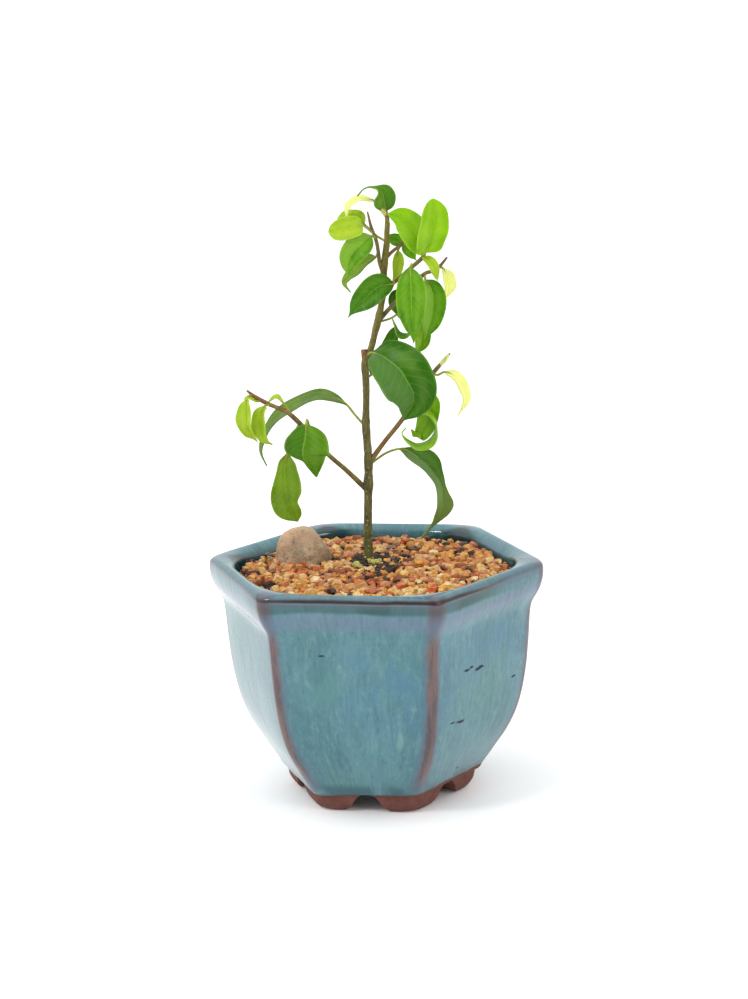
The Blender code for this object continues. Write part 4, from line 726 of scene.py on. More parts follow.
def bark_finish():
    """Brown-olive bark, greener towards the young tips, with pale raised dots low down."""
    finish, where = new_finish("bark")
    height = parts(where)[2]
    spots = mottled(stretched(where, (1, 1, 0.35)), 420.0, 2200.0, 0.5)
    old = blended(spots, colour(42, 41, 16), colour(120, 115, 62))
    young = blended(spots, colour(88, 78, 24), colour(132, 122, 46))
    brown = blended(between(height, 0.12, 0.2), old, young)
    brown = blended(between(height, 0.102, 0.086) * 0.5, brown, colour(82, 92, 26))
    cells = worked("TexVoronoi", {"Vector": stretched(where, (1, 1, 0.8)), "Scale": 620.0}, "Distance")
    dots = between(cells, 0.3, 0.12) * between(height, 0.15, 0.11)
    brown = blended(dots * 0.7, brown, colour(168, 146, 96))
    return finished(finish, glossy(brown, 0.58, bumped(dots * 0.8 + spots, 0.0003, 0.7), shine=0.35))


def skin_finish(name):
    """Skin of young stems, with a reddish flush in places."""
    dark, light, flush = [colour(*tone) for tone in SKIN_TONES[name]]
    finish, where = new_finish(name + "_skin")
    skin = blended(mottled(stretched(where, (1, 1, 0.5)), 350.0, 1800.0, 0.35), dark, light)
    skin = blended(between(clouds(where, 90.0, 2.0), 0.45, 0.62) * 0.7, skin, flush)
    return finished(finish, glossy(skin, 0.5, rough(where, 900.0, 3000.0, 0.00015), shine=0.35))


def grainy_finish(name):
    """Two tones in spots of two sizes, with bumps of two sizes."""
    dark, light, spots, bumps, roughness, stretch = GRAINY[name]
    finish, where = new_finish(name)
    body = blended(mottled(stretched(where, (1, 1, stretch)), *spots, 0.5), colour(*dark), colour(*light))
    return finished(finish, glossy(body, roughness, rough(where, *bumps)))


def gravel_finish():
    """Mixed gravel: each grain has its own tint, which also carries painted shade low down and towards the
    back, with a fine mottle over it.
    """
    finish, where = new_finish("gravel_mix")
    tint = Field(new_node(where.tree, "Attribute", attribute_name="tint").outputs["Fac"])
    ramp = new_node(where.tree, "ValToRGB", {0: tint})
    ramp.color_ramp.interpolation = "LINEAR"
    while len(ramp.color_ramp.elements) < len(GRAIN_TONES):
        ramp.color_ramp.elements.new(0.5)
    for element, (spot, tone) in zip(ramp.color_ramp.elements, GRAIN_TONES):
        element.position = spot
        element.color = colour(*tone)
    mixed = Field(ramp.outputs[0])
    darker = blended(1.0, mixed, colour(184, 156, 128), "MULTIPLY")
    body = blended(mottled(where, 600.0, 2600.0, 0.45), darker, mixed)
    damp = between(clouds(where, 90.0, 2.0), 0.4, 0.6, 0.3, 0.7)
    return finished(finish, glossy(body, damp, rough(where, 800.0, 3000.0, 0.0004)))


def stone_finish():
    """Worn sandy stone, paler on top, with grey and pinkish parts, painted shade low on its right side and
    small pits.
    """
    finish, where = new_finish("worn_stone")
    across, _, level = parts(where)
    body = blended(mottled(where, 150.0, 900.0, 0.35), colour(140, 114, 86), colour(208, 180, 146))
    # Paler towards the top
    paler_top = between(level, 0.089, 0.0965) * 0.55
    pink = between(clouds(stretched(where, (1, 1, 1.6), (3, 1, 2)), 60.0), 0.48, 0.62) * 0.4
    grey = between(clouds(stretched(where, (1, 1, 1), (1, 5, 2)), 85.0), 0.52, 0.64) * 0.5
    # Painted shade low on the stone's right side
    lower_right_shade = between(across, -0.0265, -0.0165) * between(level, 0.0945, 0.088) * 0.5
    pits = between(clouds(where, 420.0), 0.44, 0.33) * 0.4
    for share, tone in ((paler_top, (206, 180, 146)), (pink, (186, 136, 108)), (grey, (136, 124, 106)),
                        (lower_right_shade, (112, 88, 60)), (pits, (96, 74, 52))):
        body = blended(share, body, colour(*tone))
    return finished(finish, glossy(body, 0.82, rough(where, 260.0, 1500.0, 0.0016, 0.8)))


def glaze_mark(around, turn, height, half, tall, ragged, soft):
    """Mask of one spot on the glaze, by its angle round the pot and its height."""
    angle = math.radians(turn)
    middle = (GLAZE_ROUND * math.cos(angle), GLAZE_ROUND * math.sin(angle), (height + SOLE_LEVEL) * MM)
    offset = worked("VectorMath", {0: around, 1: middle}, operation="SUBTRACT")
    wobble = (clouds(around, ragged) - 0.5) * (1.5 * half * MM)
    far = length(stretched(offset, (1, 1, 1 / tall))) + wobble
    return between(far, half * MM, (1 - soft) * half * MM)


def near_brink(off_middle, height, inner, outer):
    """Mask round the line where the rim's top turns down."""
    across, up = off_middle - BRINK[0], height - BRINK[1]
    return between(maths("SQRT", across * across + up * up), outer, inner)


def glaze_finish():
    """Running blue-green glaze over brown clay: thin and brown on edges, bare at the feet, with painted
    shade inside the rim and a blush at the rim's edge that is partly painted dark reflection.
    """
    finish, where = new_finish("running_glaze")
    right, deep, level = parts(where)
    height = level / MM - SOLE_LEVEL
    reach = length(joined(right, deep)) / MM
    angle = maths("ARCTAN2", deep, right)
    cosine, sine = maths("COSINE", angle), maths("SINE", angle)
    from_corner = maths("FLOORED_MODULO", angle + SIXTH / 2, SIXTH) - SIXTH / 2
    from_side = maths("FLOORED_MODULO", angle, SIXTH) - SIXTH / 2
    off_corner = reach * maths("SINE", maths("ABSOLUTE", from_corner))
    off_middle = reach * maths("COSINE", from_side)
    around = joined(cosine * GLAZE_ROUND, sine * GLAZE_ROUND, level)

    # Streaks, flecks and broad clouds of the running glaze
    broad = clouds(stretched(around, (1, 1, 0.5)), 70.0, 4.0, 0.6)
    streak = clouds(stretched(around, (1, 1, 0.14), (5, 2, 1)), 560.0, 3.0, 0.65)
    fleck = clouds(stretched(around, (1, 1, 0.5), (2, 2, 7)), 640.0, 4.0, 0.7)
    wash = clouds(stretched(around, (1, 1, 0.8), (1, 7, 3)), 32.0)
    tint = clouds(stretched(around, (1, 1, 0.6), (8, 1, 5)), 55.0)
    front_run = between(cosine * 0.25 - sine, 0.5, 0.92, 0.14, 1.0)
    body = blended(between(broad, 0.34, 0.66), GLAZE_DEEP, GLAZE_PALE)
    body = blended(between(wash, 0.5, 0.66, 0.0, 0.4), body, GLAZE_BLUE)
    body = blended(between(tint, 0.5, 0.66, 0.0, 0.5), body, GLAZE_GREEN)
    for layer, high, low in ((streak, 0.17, 0.34), (fleck, 0.22, 0.42)):
        body = blended(between(layer, 0.52, 0.72, 0.0, high), body, GLAZE_MILKY)
        body = blended(between(layer, 0.48, 0.3, 0.0, low), body, GLAZE_DARK)
    for turn, at_height, half, tall, share, tone in GLAZE_CLOUDS:
        body = blended(glaze_mark(around, turn, at_height, half, tall, 170.0, 0.85) * share, body, tone)

    # Bands: green under the rim, lavender in the cove, darker where the glaze pools
    edge = height + (wash - 0.5) * 4.0
    under_rim = between(edge, 77.2, 78.8) * between(height, 81.8, 81.3) * between(tint, 0.38, 0.5, 0.7, 1.0)
    body = blended(under_rim * front_run, body, GLAZE_UNDER_RIM)
    cove = between(edge, 70.0, 73.5) * between(edge, 79.0, 76.0) * between(fleck, 0.3, 0.7, 0.25, 0.6)
    body = blended(cove, body, GLAZE_LAVENDER)
    pool = between(height, 3.8, 5.6) * between(height, 10.5, 7.0) * between(tint, 0.42, 0.55, 0.1, 0.8)
    body = blended(pool, body, GLAZE_POOL)

    # Corners, where the glaze runs thin
    strip = off_corner + (clouds(around, 240.0) - 0.5) * 1.8
    halo = between(strip, 4.4, 1.6) * between(edge, 4.5, 9.0) * 0.62
    body = blended(halo, body, GLAZE_HALO)
    band = between(strip, 2.5, 1.2) * (between(edge, 6.5, 17.0) * between(edge, 73.0, 65.0)) * 0.86
    thin = blended(between(streak, 0.38, 0.62), colour(70, 50, 50), colour(104, 74, 66))
    body = blended(band, body, thin)
    rim_corner = between(strip, 4.6, 1.6) * between(edge, 74.0, 80.5) * between(off_middle, 52.4, 53.4)
    body = blended(rim_corner * 0.8, body, colour(66, 48, 44))

    # The rim's outer edge, with a blush that is partly painted dark reflection, and painted shade on its
    # inside
    # Purple-brown blush round the rim's outer edge: partly the glaze's own, widened as painted dark
    # reflection on the rim's face
    body = blended(near_brink(off_middle, height, 0.8, 3.0) * 0.5, body, GLAZE_HALO)
    brink = near_brink(off_middle, height + (tint - 0.5) * 1.6, 0.45, 1.1)
    bare_brink = maths("MULTIPLY", brink, front_run * (0.8 + broad * 0.4), clamp=True)
    brink_tone = blended(between(height, 82.2, 81.6), colour(38, 16, 6), colour(104, 56, 32))
    body = blended(bare_brink, body, brink_tone)
    # Painted shade on the inner wall, between the rim's crest and the gravel
    inner = between(off_middle, 49.0, 46.8) * between(height, 60.0, 70.0) * 0.9
    body = blended(inner, body, GLAZE_INSIDE_SHADE)
    pitted = 0.0
    for turn, at_height, size in GLAZE_PITS:
        pit = glaze_mark(around, turn, at_height, size, 0.3, 900.0, 0.5)
        body = blended(pit, body, colour(4, 30, 34))
        pitted = maths("MAXIMUM", pitted, pit)

    # Bare clay below the glaze's lower edge
    lip = height + (clouds(where, 120.0) - 0.5) * 1.6 - right / (MM / DIP_SLOPE)
    clay_share = between(lip, GLAZE_FOOT + 0.3, GLAZE_FOOT - 0.15)
    body = blended(between(lip, GLAZE_FOOT + 1.3, GLAZE_FOOT + 0.3) * 0.35, body, GLAZE_POOL)
    clay = blended(mottled(where, 260.0, 1700.0, 0.5), colour(84, 46, 38), colour(116, 68, 56))
    body = blended(clay_share, body, clay)
    roll = clouds(stretched(around, (1, 1, 0.6)), 110.0, 2.0)
    bump = bumped(roll + fleck * 0.1 - clay_share * 0.6, 0.0006, 0.3)
    dull = between(clay_share, 0.0, 1.0, 0.13, 0.8) + bare_brink * 0.22 + pitted * 0.6
    coat = between(clay_share, 1.0, 0.0, 0.0, 0.2) * without(bare_brink + pitted)
    return finished(finish, glossy(body, dull, bump, coat, 0.04))


def floor_finish():
    """Pale floor that is lifted to white round the pot, but not in the shade under it."""
    finish, where = new_finish("pale_floor")
    strength = between(length(where), *FLOOR_SHADE, 0.0, FLOOR_LIFT)
    lift = worked("Emission", {"Color": WHITE, "Strength": strength})
    plain = {"Base Color": FLOOR_TONE, "Roughness": 0.9}
    floor = Field(new_node(where.tree, "BsdfPrincipled", plain).outputs[0])
    return finished(finish, worked("AddShader", {0: floor, 1: lift}))


# Modelling

def select_only(*pieces):
    bpy.ops.object.select_all(action="DESELECT")
    for piece in pieces:
        piece.select_set(True)
    bpy.context.view_layer.objects.active = pieces[-1]


def begin(primitive, **settings):
    """New piece from one of Blender's primitives."""
    bpy.ops.object.select_all(action="DESELECT")
    primitive(**settings)
    return bpy.context.object


@contextlib.contextmanager
def editing():
    """Edit mode with the whole mesh selected."""
    bpy.ops.object.mode_set(mode="EDIT")
    bpy.ops.mesh.select_all(action="SELECT")
    yield
    bpy.ops.object.mode_set(mode="OBJECT")


def turn_faces_out():
    bpy.ops.mesh.select_all(action="SELECT")
    bpy.ops.mesh.normals_make_consistent(inside=False)


def link(name, data):
    """New object in the scene."""
    made = bpy.data.objects.new(name, data)
    bpy.context.scene.collection.objects.link(made)
    return made


def place(right, deep, height):
    """A point of the plant, turned into the pot's own directions."""
    turn_cos, turn_sin = math.cos(PLANT_TURN), math.sin(PLANT_TURN)
    return Vector((right * turn_cos - deep * turn_sin, right * turn_sin + deep * turn_cos,
                   height + SOLE_LEVEL)) * MM


def apply_all(piece):
    """Makes the piece's modifiers part of its mesh."""
    select_only(piece)
    for modifier in list(piece.modifiers):
        bpy.ops.object.modifier_apply(modifier=modifier.name)


def dress(piece, name, finish, node_name):
    """Names a finished piece, gives it its finish, puts it under the root, and hides the solid it stands
    for.
    """
    piece.name = name
    piece.data.name = name
    piece.data.materials.clear()
    piece.data.materials.append(finish)
    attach(piece, "root")
    if node_name:
        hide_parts(node_name)


def redress(node_name, finish):
    """A solid whose shape is right keeps its mesh and gets a better finish."""
    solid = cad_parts[node_name]
    solid.data.materials.clear()
    solid.data.materials.append(finish)


def tinted(mesh, tint):
    """Gives a mesh the value that picks its colour from the mix of gravel."""
    shade = mesh.attributes.new("tint", "FLOAT", "POINT")
    shade.data.foreach_set("value", [tint] * len(mesh.vertices))


# Smooth lines through rows of numbers

def smooth_values(share, *rows):
    """Values at this share from the second to the third of four rows."""
    return [0.5 * (2 * b + (c - a) * share + (2 * a - 5 * b + 4 * c - d) * share ** 2
                   + (3 * b - a - 3 * c + d) * share ** 3) for a, b, c, d in zip(*rows)]


def smooth_row(rows, at):
    """Values between the rows, where at counts rows from the first."""
    i = min(int(at), len(rows) - 2)
    return smooth_values(at - i, rows[max(0, i - 1)], rows[i], rows[i + 1], rows[min(len(rows) - 1, i + 2)])


def smooth_along(rows, share):
    """Place, and radius if the rows have one, at this share of the way along them by length."""
    reach = [0.0]
    for here, following in zip(rows, rows[1:]):
        reach.append(reach[-1] + math.dist(here[:3], following[:3]))
    target = share * reach[-1]
    i = 0
    while i < len(rows) - 2 and reach[i + 1] <= target:
        i += 1
    before = rows[i - 1] if i else [2 * a - b for a, b in zip(rows[0], rows[1])]
    after = rows[i + 2] if i + 2 < len(rows) else [2 * a - b for a, b in zip(rows[-1], rows[-2])]
    share_between = (target - reach[i]) / (reach[i + 1] - reach[i])
    return smooth_values(share_between, before, rows[i], rows[i + 1], after)


# Pot

def hexagon_ring(reach, height, rounding):
    """Points round the pot: rounded corners, one of them on +X, and flat sides."""
    centre = reach - rounding
    arcs = []
    for corner in range(6):
        middle = SIXTH * corner
        arc = []
        for step in range(-CORNER_STEPS, CORNER_STEPS + 1):
            angle = middle + SIXTH / 2 * step / CORNER_STEPS
            arc.append(Vector((centre * math.cos(middle) + rounding * math.cos(angle),
                               centre * math.sin(middle) + rounding * math.sin(angle),
                               height + SOLE_LEVEL)) * MM)
        arcs.append(arc)
    ring = []
    for arc, following in zip(arcs, arcs[1:] + arcs[:1]):
        ring += arc
        for step in range(1, SIDE_STEPS):
            ring.append(arc[-1].lerp(following[0], step / SIDE_STEPS))
    return ring


def make_pot(finish):
    """Ring by ring from the drain hole up the inside, over the rim and down to the feet."""
    count = (len(POT_PROFILE) - 1) * RING_STEPS
    rings = [hexagon_ring(*smooth_row(POT_PROFILE, step / RING_STEPS)) for step in range(count + 1)]
    pot = begin(bpy.ops.mesh.primitive_circle_add, vertices=len(rings[0]), radius=POT_PROFILE[0][0] * MM)
    for vert, point in zip(pot.data.vertices, rings[0]):
        vert.co = point
    with editing():
        for ring in rings[1:]:
            bpy.ops.mesh.extrude_edges_move()
            work = bmesh.from_edit_mesh(pot.data)
            work.verts.ensure_lookup_table()
            for vert, point in zip([vert for vert in work.verts if vert.select], ring):
                vert.co = point
            bmesh.update_edit_mesh(pot.data)
        bpy.ops.mesh.select_all(action="DESELECT")
        bpy.ops.mesh.select_non_manifold(extend=False)
        bpy.ops.mesh.bridge_edge_loops()
        turn_faces_out()
    cutters = [model_arch_cutter(side) for side in range(6)]
    for cutter in cutters:
        cut = pot.modifiers.new("arch", "BOOLEAN")
        cut.operation = "DIFFERENCE"
        cut.solver = "EXACT"
        cut.object = cutter
    apply_all(pot)
    for cutter in cutters:
        bpy.data.objects.remove(cutter)
    select_only(pot)
    bpy.ops.object.shade_smooth_by_angle(angle=POT_CREASE)
    dress(pot, "glazed_pot", finish, "pot")


def model_arch_cutter(side):
    """Solid bar with the arch's outline, lying across one flat side of the foot."""
    outline = FOOT_ARCH + [(-half, height) for half, height in reversed(FOOT_ARCH)]
    angle = SIXTH * (side + 0.5)
    out = Vector((math.cos(angle), math.sin(angle), 0))
    across = Vector((-math.sin(angle), math.cos(angle), 0))
    near, far = ARCH_REACH
    cutter = begin(bpy.ops.mesh.primitive_circle_add, vertices=len(outline), radius=MM, fill_type="NGON")
    for vert, (half, height) in zip(cutter.data.vertices, outline):
        vert.co = (out * near + across * half + Vector((0, 0, height + SOLE_LEVEL))) * MM
    with editing():
        bpy.ops.mesh.extrude_region_move(TRANSFORM_OT_translate={"value": out * (far - near) * MM})
        turn_faces_out()
    return cutter


# Bed

def side_reach(point):
    """How far a place is from the middle, measured square to the nearest flat side."""
    angle = math.atan2(point.y, point.x) % SIXTH - SIXTH / 2
    return math.hypot(point.x, point.y) * math.cos(angle)


def bed_height(point):
    """Level of the gravel at a place, a little higher in the middle."""
    nearness = max(0.0, 1 - (math.hypot(point.x, point.y) / WALL_REACH) ** 2)
    rolling = noise.noise(Vector((point.x * 0.09, point.y * 0.09, 3.7)))
    return BED_LEVEL + BED_RISE * nearness + BED_ROLL * rolling


def for_viewer(point):
    """A place in the pot by the viewer's right and depth."""
    turn_cos, turn_sin = math.cos(PLANT_TURN), math.sin(PLANT_TURN)
    return point.x * turn_cos + point.y * turn_sin, point.y * turn_cos - point.x * turn_sin


def in_patch(point):
    """Whether a place in the pot lies in the dark soil patch."""
    right, deep = for_viewer(point)
    inside = False
    for (x1, y1), (x2, y2) in zip(PATCH, PATCH[1:] + PATCH[:1]):
        if (y1 > deep) != (y2 > deep) and right < (x2 - x1) * (deep - y1) / (y2 - y1) + x1:
            inside = not inside
    return inside


def under_stone(point):
    """Whether a place in the pot lies under the stone's foot."""
    right, deep, half_right, half_deep, _ = STONE_ROWS[1]
    x, y = for_viewer(point)
    return ((x - right) / half_right) ** 2 + ((y - deep) / half_deep) ** 2 < UNDER_STONE


def model_grain(kind):
    """One grain: a cube rounded and knocked about, one unit across each half."""
    grain = begin(bpy.ops.mesh.primitive_cube_add, size=GRAIN_CUBE)
    with editing():
        bpy.ops.mesh.subdivide(number_cuts=1)
        bpy.ops.transform.tosphere(value=GRAIN_BALL[0] + GRAIN_BALL[1] * (kind % 4))
        bpy.ops.transform.vertex_random(offset=GRAIN_ROUGH, uniform=1.0, seed=kind + 3)
    bpy.ops.object.shade_smooth_by_angle(angle=GRAIN_CREASE)
    return grain


def scatter(kinds, spots):
    """Copies of the kinds at the spots, each with its own mesh and tint, joined into one piece."""
    copies = []
    for middle, half, tint in spots:
        mesh = draw.choice(kinds).data.copy()
        turn = Matrix.Rotation(draw.uniform(0, math.tau), 4, "Z")
        tilt = Matrix.Rotation(draw.uniform(-GRAIN_TILT, GRAIN_TILT), 4, "X")
        deep, tall = half * draw.uniform(*GRAIN_DEEP), half * draw.uniform(*GRAIN_TALL)
        size = Matrix.Diagonal((half, deep, tall, 1))
        roll = Matrix.Rotation(draw.uniform(0, math.tau), 4, "X")
        mesh.transform(Matrix.Translation(middle) @ turn @ tilt @ size @ roll)
        tinted(mesh, tint)
        copies.append(link("grain", mesh))
    select_only(*copies)
    bpy.ops.object.join()
    return bpy.context.object


def lattice_spots(spacing, jitter):
    """Places inside the pot on a jittered lattice of triangles."""
    count = int(2 * WALL_REACH / spacing) + 2
    for row in range(-count, count):
        for step in range(-count, count):
            x = (step + 0.5 * (row % 2) + draw.uniform(-jitter, jitter)) * spacing
            y = (row * ROW_SHARE + draw.uniform(-jitter, jitter)) * spacing
            yield Vector((x, y, 0))


def grain_tint(point):
    """Where a grain falls in the mix: like grains lie together, paler in front and darker at the left; the
    darkening towards the back is partly painted shade from the back wall.
    """
    drift = TINT_GROUPS * noise.noise(Vector((point.x * 0.07, point.y * 0.07, 9.1)))
    # Partly painted shade: darker towards the back wall
    drift += TINT_AND_SHADE_SLOPE * (min(0.0, point.x + 8) - point.y - 4)
    return min(1.0, max(0.0, draw.betavariate(*TINT_SPREAD) + drift))


def make_gravel(finish, kinds):
    """Loose grains in layers, but not under the stone, and fewer in the soil patch."""
    spots = []
    for spacing, halves, level, jitter in GRAIN_LAYERS:
        for spot in lattice_spots(spacing, jitter):
            half = draw.uniform(*halves)
            clear = half + GRAIN_GAP + GRAIN_ROLL * max(0.0, level)
            from_middle = math.hypot(spot.x, spot.y)
            if side_reach(spot) > WALL_SIDE - clear or from_middle > WALL_REACH - clear - CORNER_GAP:
                continue
            if under_stone(spot) or (in_patch(spot) and draw.random() < PATCH_SHARE):
                continue
            spot.z = bed_height(spot) + level + draw.uniform(*GRAIN_DRIFT) + SOLE_LEVEL
            # Lower layers get painted shade, darker for each millimetre under the bed's level
            spots.append((spot * MM, half * MM, grain_tint(spot) + min(0, LOW_LAYER_SHADE * level)))
    dress(scatter(kinds, spots), "gravel_grains", finish, "gravel")


def make_bed(finish):
    """Fine bed that closes the gaps under the grains."""
    grid = {"x_subdivisions": BED_GRID, "y_subdivisions": BED_GRID, "size": 2 * WALL_REACH * MM}
    bed = begin(bpy.ops.mesh.primitive_grid_add, **grid)
    for vert in bed.data.vertices:
        spot = vert.co / MM
        limit = (WALL_SIDE - BED_GAP) / max(side_reach(spot), 0.01)
        rounding = (WALL_REACH - CORNER_GAP) / max(math.hypot(spot.x, spot.y), 0.01)
        spot = spot * min(1.0, limit, rounding)
        rolling = noise.noise(Vector((spot.x, spot.y, 1.3)))
        spot.z = bed_height(spot) - BED_UNDER + BED_ROLL * rolling + SOLE_LEVEL
        vert.co = spot * MM
    with editing():
        bpy.ops.mesh.remove_doubles(threshold=BED_WELD * MM)
        bpy.ops.mesh.select_all(action="SELECT")
        bpy.ops.mesh.extrude_region_move(TRANSFORM_OT_translate={"value": (0, 0, -BED_THICK * MM)})
        turn_faces_out()
    bpy.ops.object.shade_smooth()
    # Dark tint: painted shade in the gaps between the grains
    tinted(bed.data, BED_SHADE_TINT)
    dress(bed, "gravel_bed", finish, "gravel")


def make_mound(finish):
    """Low heap of soil at the foot of the trunk, over the top of the soil block."""
    mound = begin(bpy.ops.mesh.primitive_cone_add, **MOUND)
    with editing():
        bpy.ops.mesh.subdivide(number_cuts=4)
    for vert in mound.data.vertices:
        spot = vert.co / MM
        lump = MOUND_LUMPS * noise.noise(Vector((spot.x * 0.6, spot.y * 0.6, 5.0)))
        vert.co = (spot + trunk_place + Vector((0, 0, lump + BED_LEVEL + MOUND_LEVEL))) * MM
    bpy.ops.object.shade_smooth()
    dress(mound, "soil_mound", finish, None)


def make_crumbs(finish, kinds):
    """Dark soil crumbs over the patch round the trunk, and a few in the bed."""
    spots = []
    while len(spots) < CRUMB_COUNT:
        spot = Vector((draw.uniform(*CRUMB_AREA[0]), draw.uniform(*CRUMB_AREA[1]), 0))
        if not in_patch(spot) and draw.random() < CRUMB_STRAYS:
            continue
        half = draw.uniform(*CRUMB_HALF)
        from_trunk = math.hypot(spot.x - trunk_place.x, spot.y - trunk_place.y)
        heap = CRUMB_HEAP * max(0.0, 1 - from_trunk / CRUMB_HEAP_REACH)
        spot.z = bed_height(spot) + draw.uniform(*CRUMB_DRIFT) + heap + SOLE_LEVEL
        spots.append((spot * MM, half * MM, 0.0))
    dress(scatter(kinds, spots), "soil_crumbs", finish, None)


def make_moss(finish, kinds):
    """Few small tufts of moss by the foot of the trunk."""
    spots = []
    for right, deep, reach in MOSS_SPOTS:
        for _ in range(MOSS_COUNT):
            turn, out = draw.uniform(0, math.tau), reach * math.sqrt(draw.random())
            spot = place(right + out * math.cos(turn), deep + out * math.sin(turn), 0) / MM
            half = draw.uniform(*MOSS_HALF)
            spot.z = bed_height(spot) + MOSS_LEVEL + draw.uniform(*CRUMB_DRIFT) + SOLE_LEVEL
            spots.append((spot * MM, half * MM, 0.5))
    dress(scatter(kinds, spots), "moss_tufts", finish, None)


def make_stone(finish):
    """A ball whose rings are moved to the stone's rows, then knocked about."""
    stone = begin(bpy.ops.mesh.primitive_uv_sphere_add, **STONE_BALL)
    for vert in stone.data.vertices:
        share = 0.5 + math.asin(max(-1, min(1, vert.co.z))) / math.pi
        right, deep, half_right, half_deep, height = smooth_row(STONE_ROWS, share * (len(STONE_ROWS) - 1))
        if abs(vert.co.z) > 0.9999:
            half_right = half_deep = 0
        angle = math.atan2(vert.co.y, vert.co.x)
        across, back = math.cos(angle), math.sin(angle)
        knock = 1 + STONE_KNOCK * noise.noise(Vector((across * 1.6, back * 1.6, share * 3)))
        point = place(right + half_right * knock * across, deep + half_deep * knock * back, height)
        lumps = sum(tall * noise.noise(point / MM * close) for tall, close in STONE_ROUGH)
        vert.co = point + Vector((0, 0, lumps * MM))
    bpy.ops.object.shade_smooth()
    dress(stone, "rounded_stone", finish, "stone")


# Plant

def model_stem(rows, roundness=2, lumps=0.0):
    """Round stem through rows of right, deep, height and radius, drawn as a bevelled curve."""
    length_along = sum(math.dist(here[:3], following[:3]) for here, following in zip(rows, rows[1:]))
    count = max(6, int(length_along / STEM_STEP))
    data = bpy.data.curves.new("stem", "CURVE")
    data.dimensions = "3D"
    data.bevel_depth = MM
    data.bevel_resolution = roundness
    data.use_fill_caps = True
    spline = data.splines.new("POLY")
    spline.points.add(count)
    for i, point in enumerate(spline.points):
        *spot, radius = smooth_along(rows, i / count)
        lump = lumps * noise.noise(Vector((0.4, i / count * length_along * 0.35, 2.0)))
        point.co = (*place(*spot), 1)
        point.radius = max(0.05, radius + lump)
    select_only(link("stem", data))
    bpy.ops.object.convert(target="MESH")
    with editing():
        bpy.ops.mesh.remove_doubles(threshold=STEM_WELD * MM)
        bpy.ops.mesh.normals_make_consistent(inside=False)
    bpy.ops.object.shade_smooth()
    return bpy.context.object


def make_trunk(finish, stub_wood):
    """Trunk with raised knots, and the stub of an old cut."""
    trunk = model_stem(TRUNK, 4, TRUNK_LUMPS)
    knots = [place(*smooth_along(TRUNK, share)[:3]) / MM for share in TRUNK_KNOTS]
    for vert in trunk.data.vertices:
        spot = vert.co / MM
        for knot in knots:
            near = max(0.0, 1 - abs(spot.z - knot.z) / KNOT_REACH)
            out = Vector((spot.x - knot.x, spot.y - knot.y, 0))
            if near and out.length:
                spot += out.normalized() * near ** 2 * KNOT_RISE
        spot += Vector((1, 0.6, 0)) * TRUNK_WAVER * noise.noise(spot * 0.9)
        vert.co = spot * MM
    dress(trunk, "trunk_bark", finish, "trunk")
    dress(model_stem(CUT_STUB, 2, STUB_LUMPS), "old_cut_stub", stub_wood, "trunk")


def width_at(outline, share):
    """Smoothed half width of a blade at this share of its length."""
    rows = OUTLINES[outline]
    i = 0
    while i < len(rows) - 2 and rows[i + 1][0] <= share:
        i += 1
    (x1, y1), (x2, y2) = rows[i], rows[i + 1]
    x0, y0 = rows[i - 1] if i else (2 * x1 - x2, y1)
    x3, y3 = rows[i + 2] if i + 2 < len(rows) else (2 * x2 - x1, y2)
    f = (share - x1) / (x2 - x1)
    slope1 = (y2 - y0) / (x2 - x0) * (x2 - x1)
    slope2 = (y3 - y1) / (x3 - x1) * (x2 - x1)
    return ((2 * f ** 3 - 3 * f ** 2 + 1) * y1 + (f ** 3 - 2 * f ** 2 + f) * slope1
            + (-2 * f ** 3 + 3 * f ** 2) * y2 + (f ** 3 - f ** 2) * slope2)


def bent(fold, curl, reach):
    """How far out and how far up a blade gets that leaves its rib at fold and curls on."""
    leaving = math.radians(fold)
    turn = math.radians(curl)
    if abs(turn) < 1e-6:
        return reach * math.cos(leaving), reach * math.sin(leaving)
    end = leaving + turn * reach
    return (math.sin(end) - math.sin(leaving)) / turn, (math.cos(leaving) - math.cos(end)) / turn


def blade_point(leaf, share, across):
    """Point of a blade at a share of its length, from -1 to 1 across it."""
    middle, behind, ahead = [Vector(smooth_along(leaf.rib, near))
                             for near in (share, max(0, share - 0.05), min(1, share + 0.05))]
    along = (ahead - behind).normalized()
    first, last = [Vector(way).normalized() for way in leaf.side]
    side = first.lerp(last, share)
    side = (side - along * side.dot(along)).normalized()
    up = side.cross(along)
    if across > 0:
        outline, widening, wave = leaf.outline, leaf.widths[0], 1.3
    else:
        outline, widening, wave = leaf.other or leaf.outline, leaf.widths[1], 0
    width = max(leaf.half * widening * width_at(outline, share), LEAST_HALF)
    flattened = min(1, width / FOLD_FADES_BELOW)
    out, rise = bent(leaf.fold * flattened, leaf.curl * flattened, abs(across))
    ripple = RIPPLE * leaf.half * across ** 2 * flattened * math.sin(share * 17 + leaf.half * 3 + wave)
    return middle + side * math.copysign(out * width, across) + up * (rise * width + ripple)


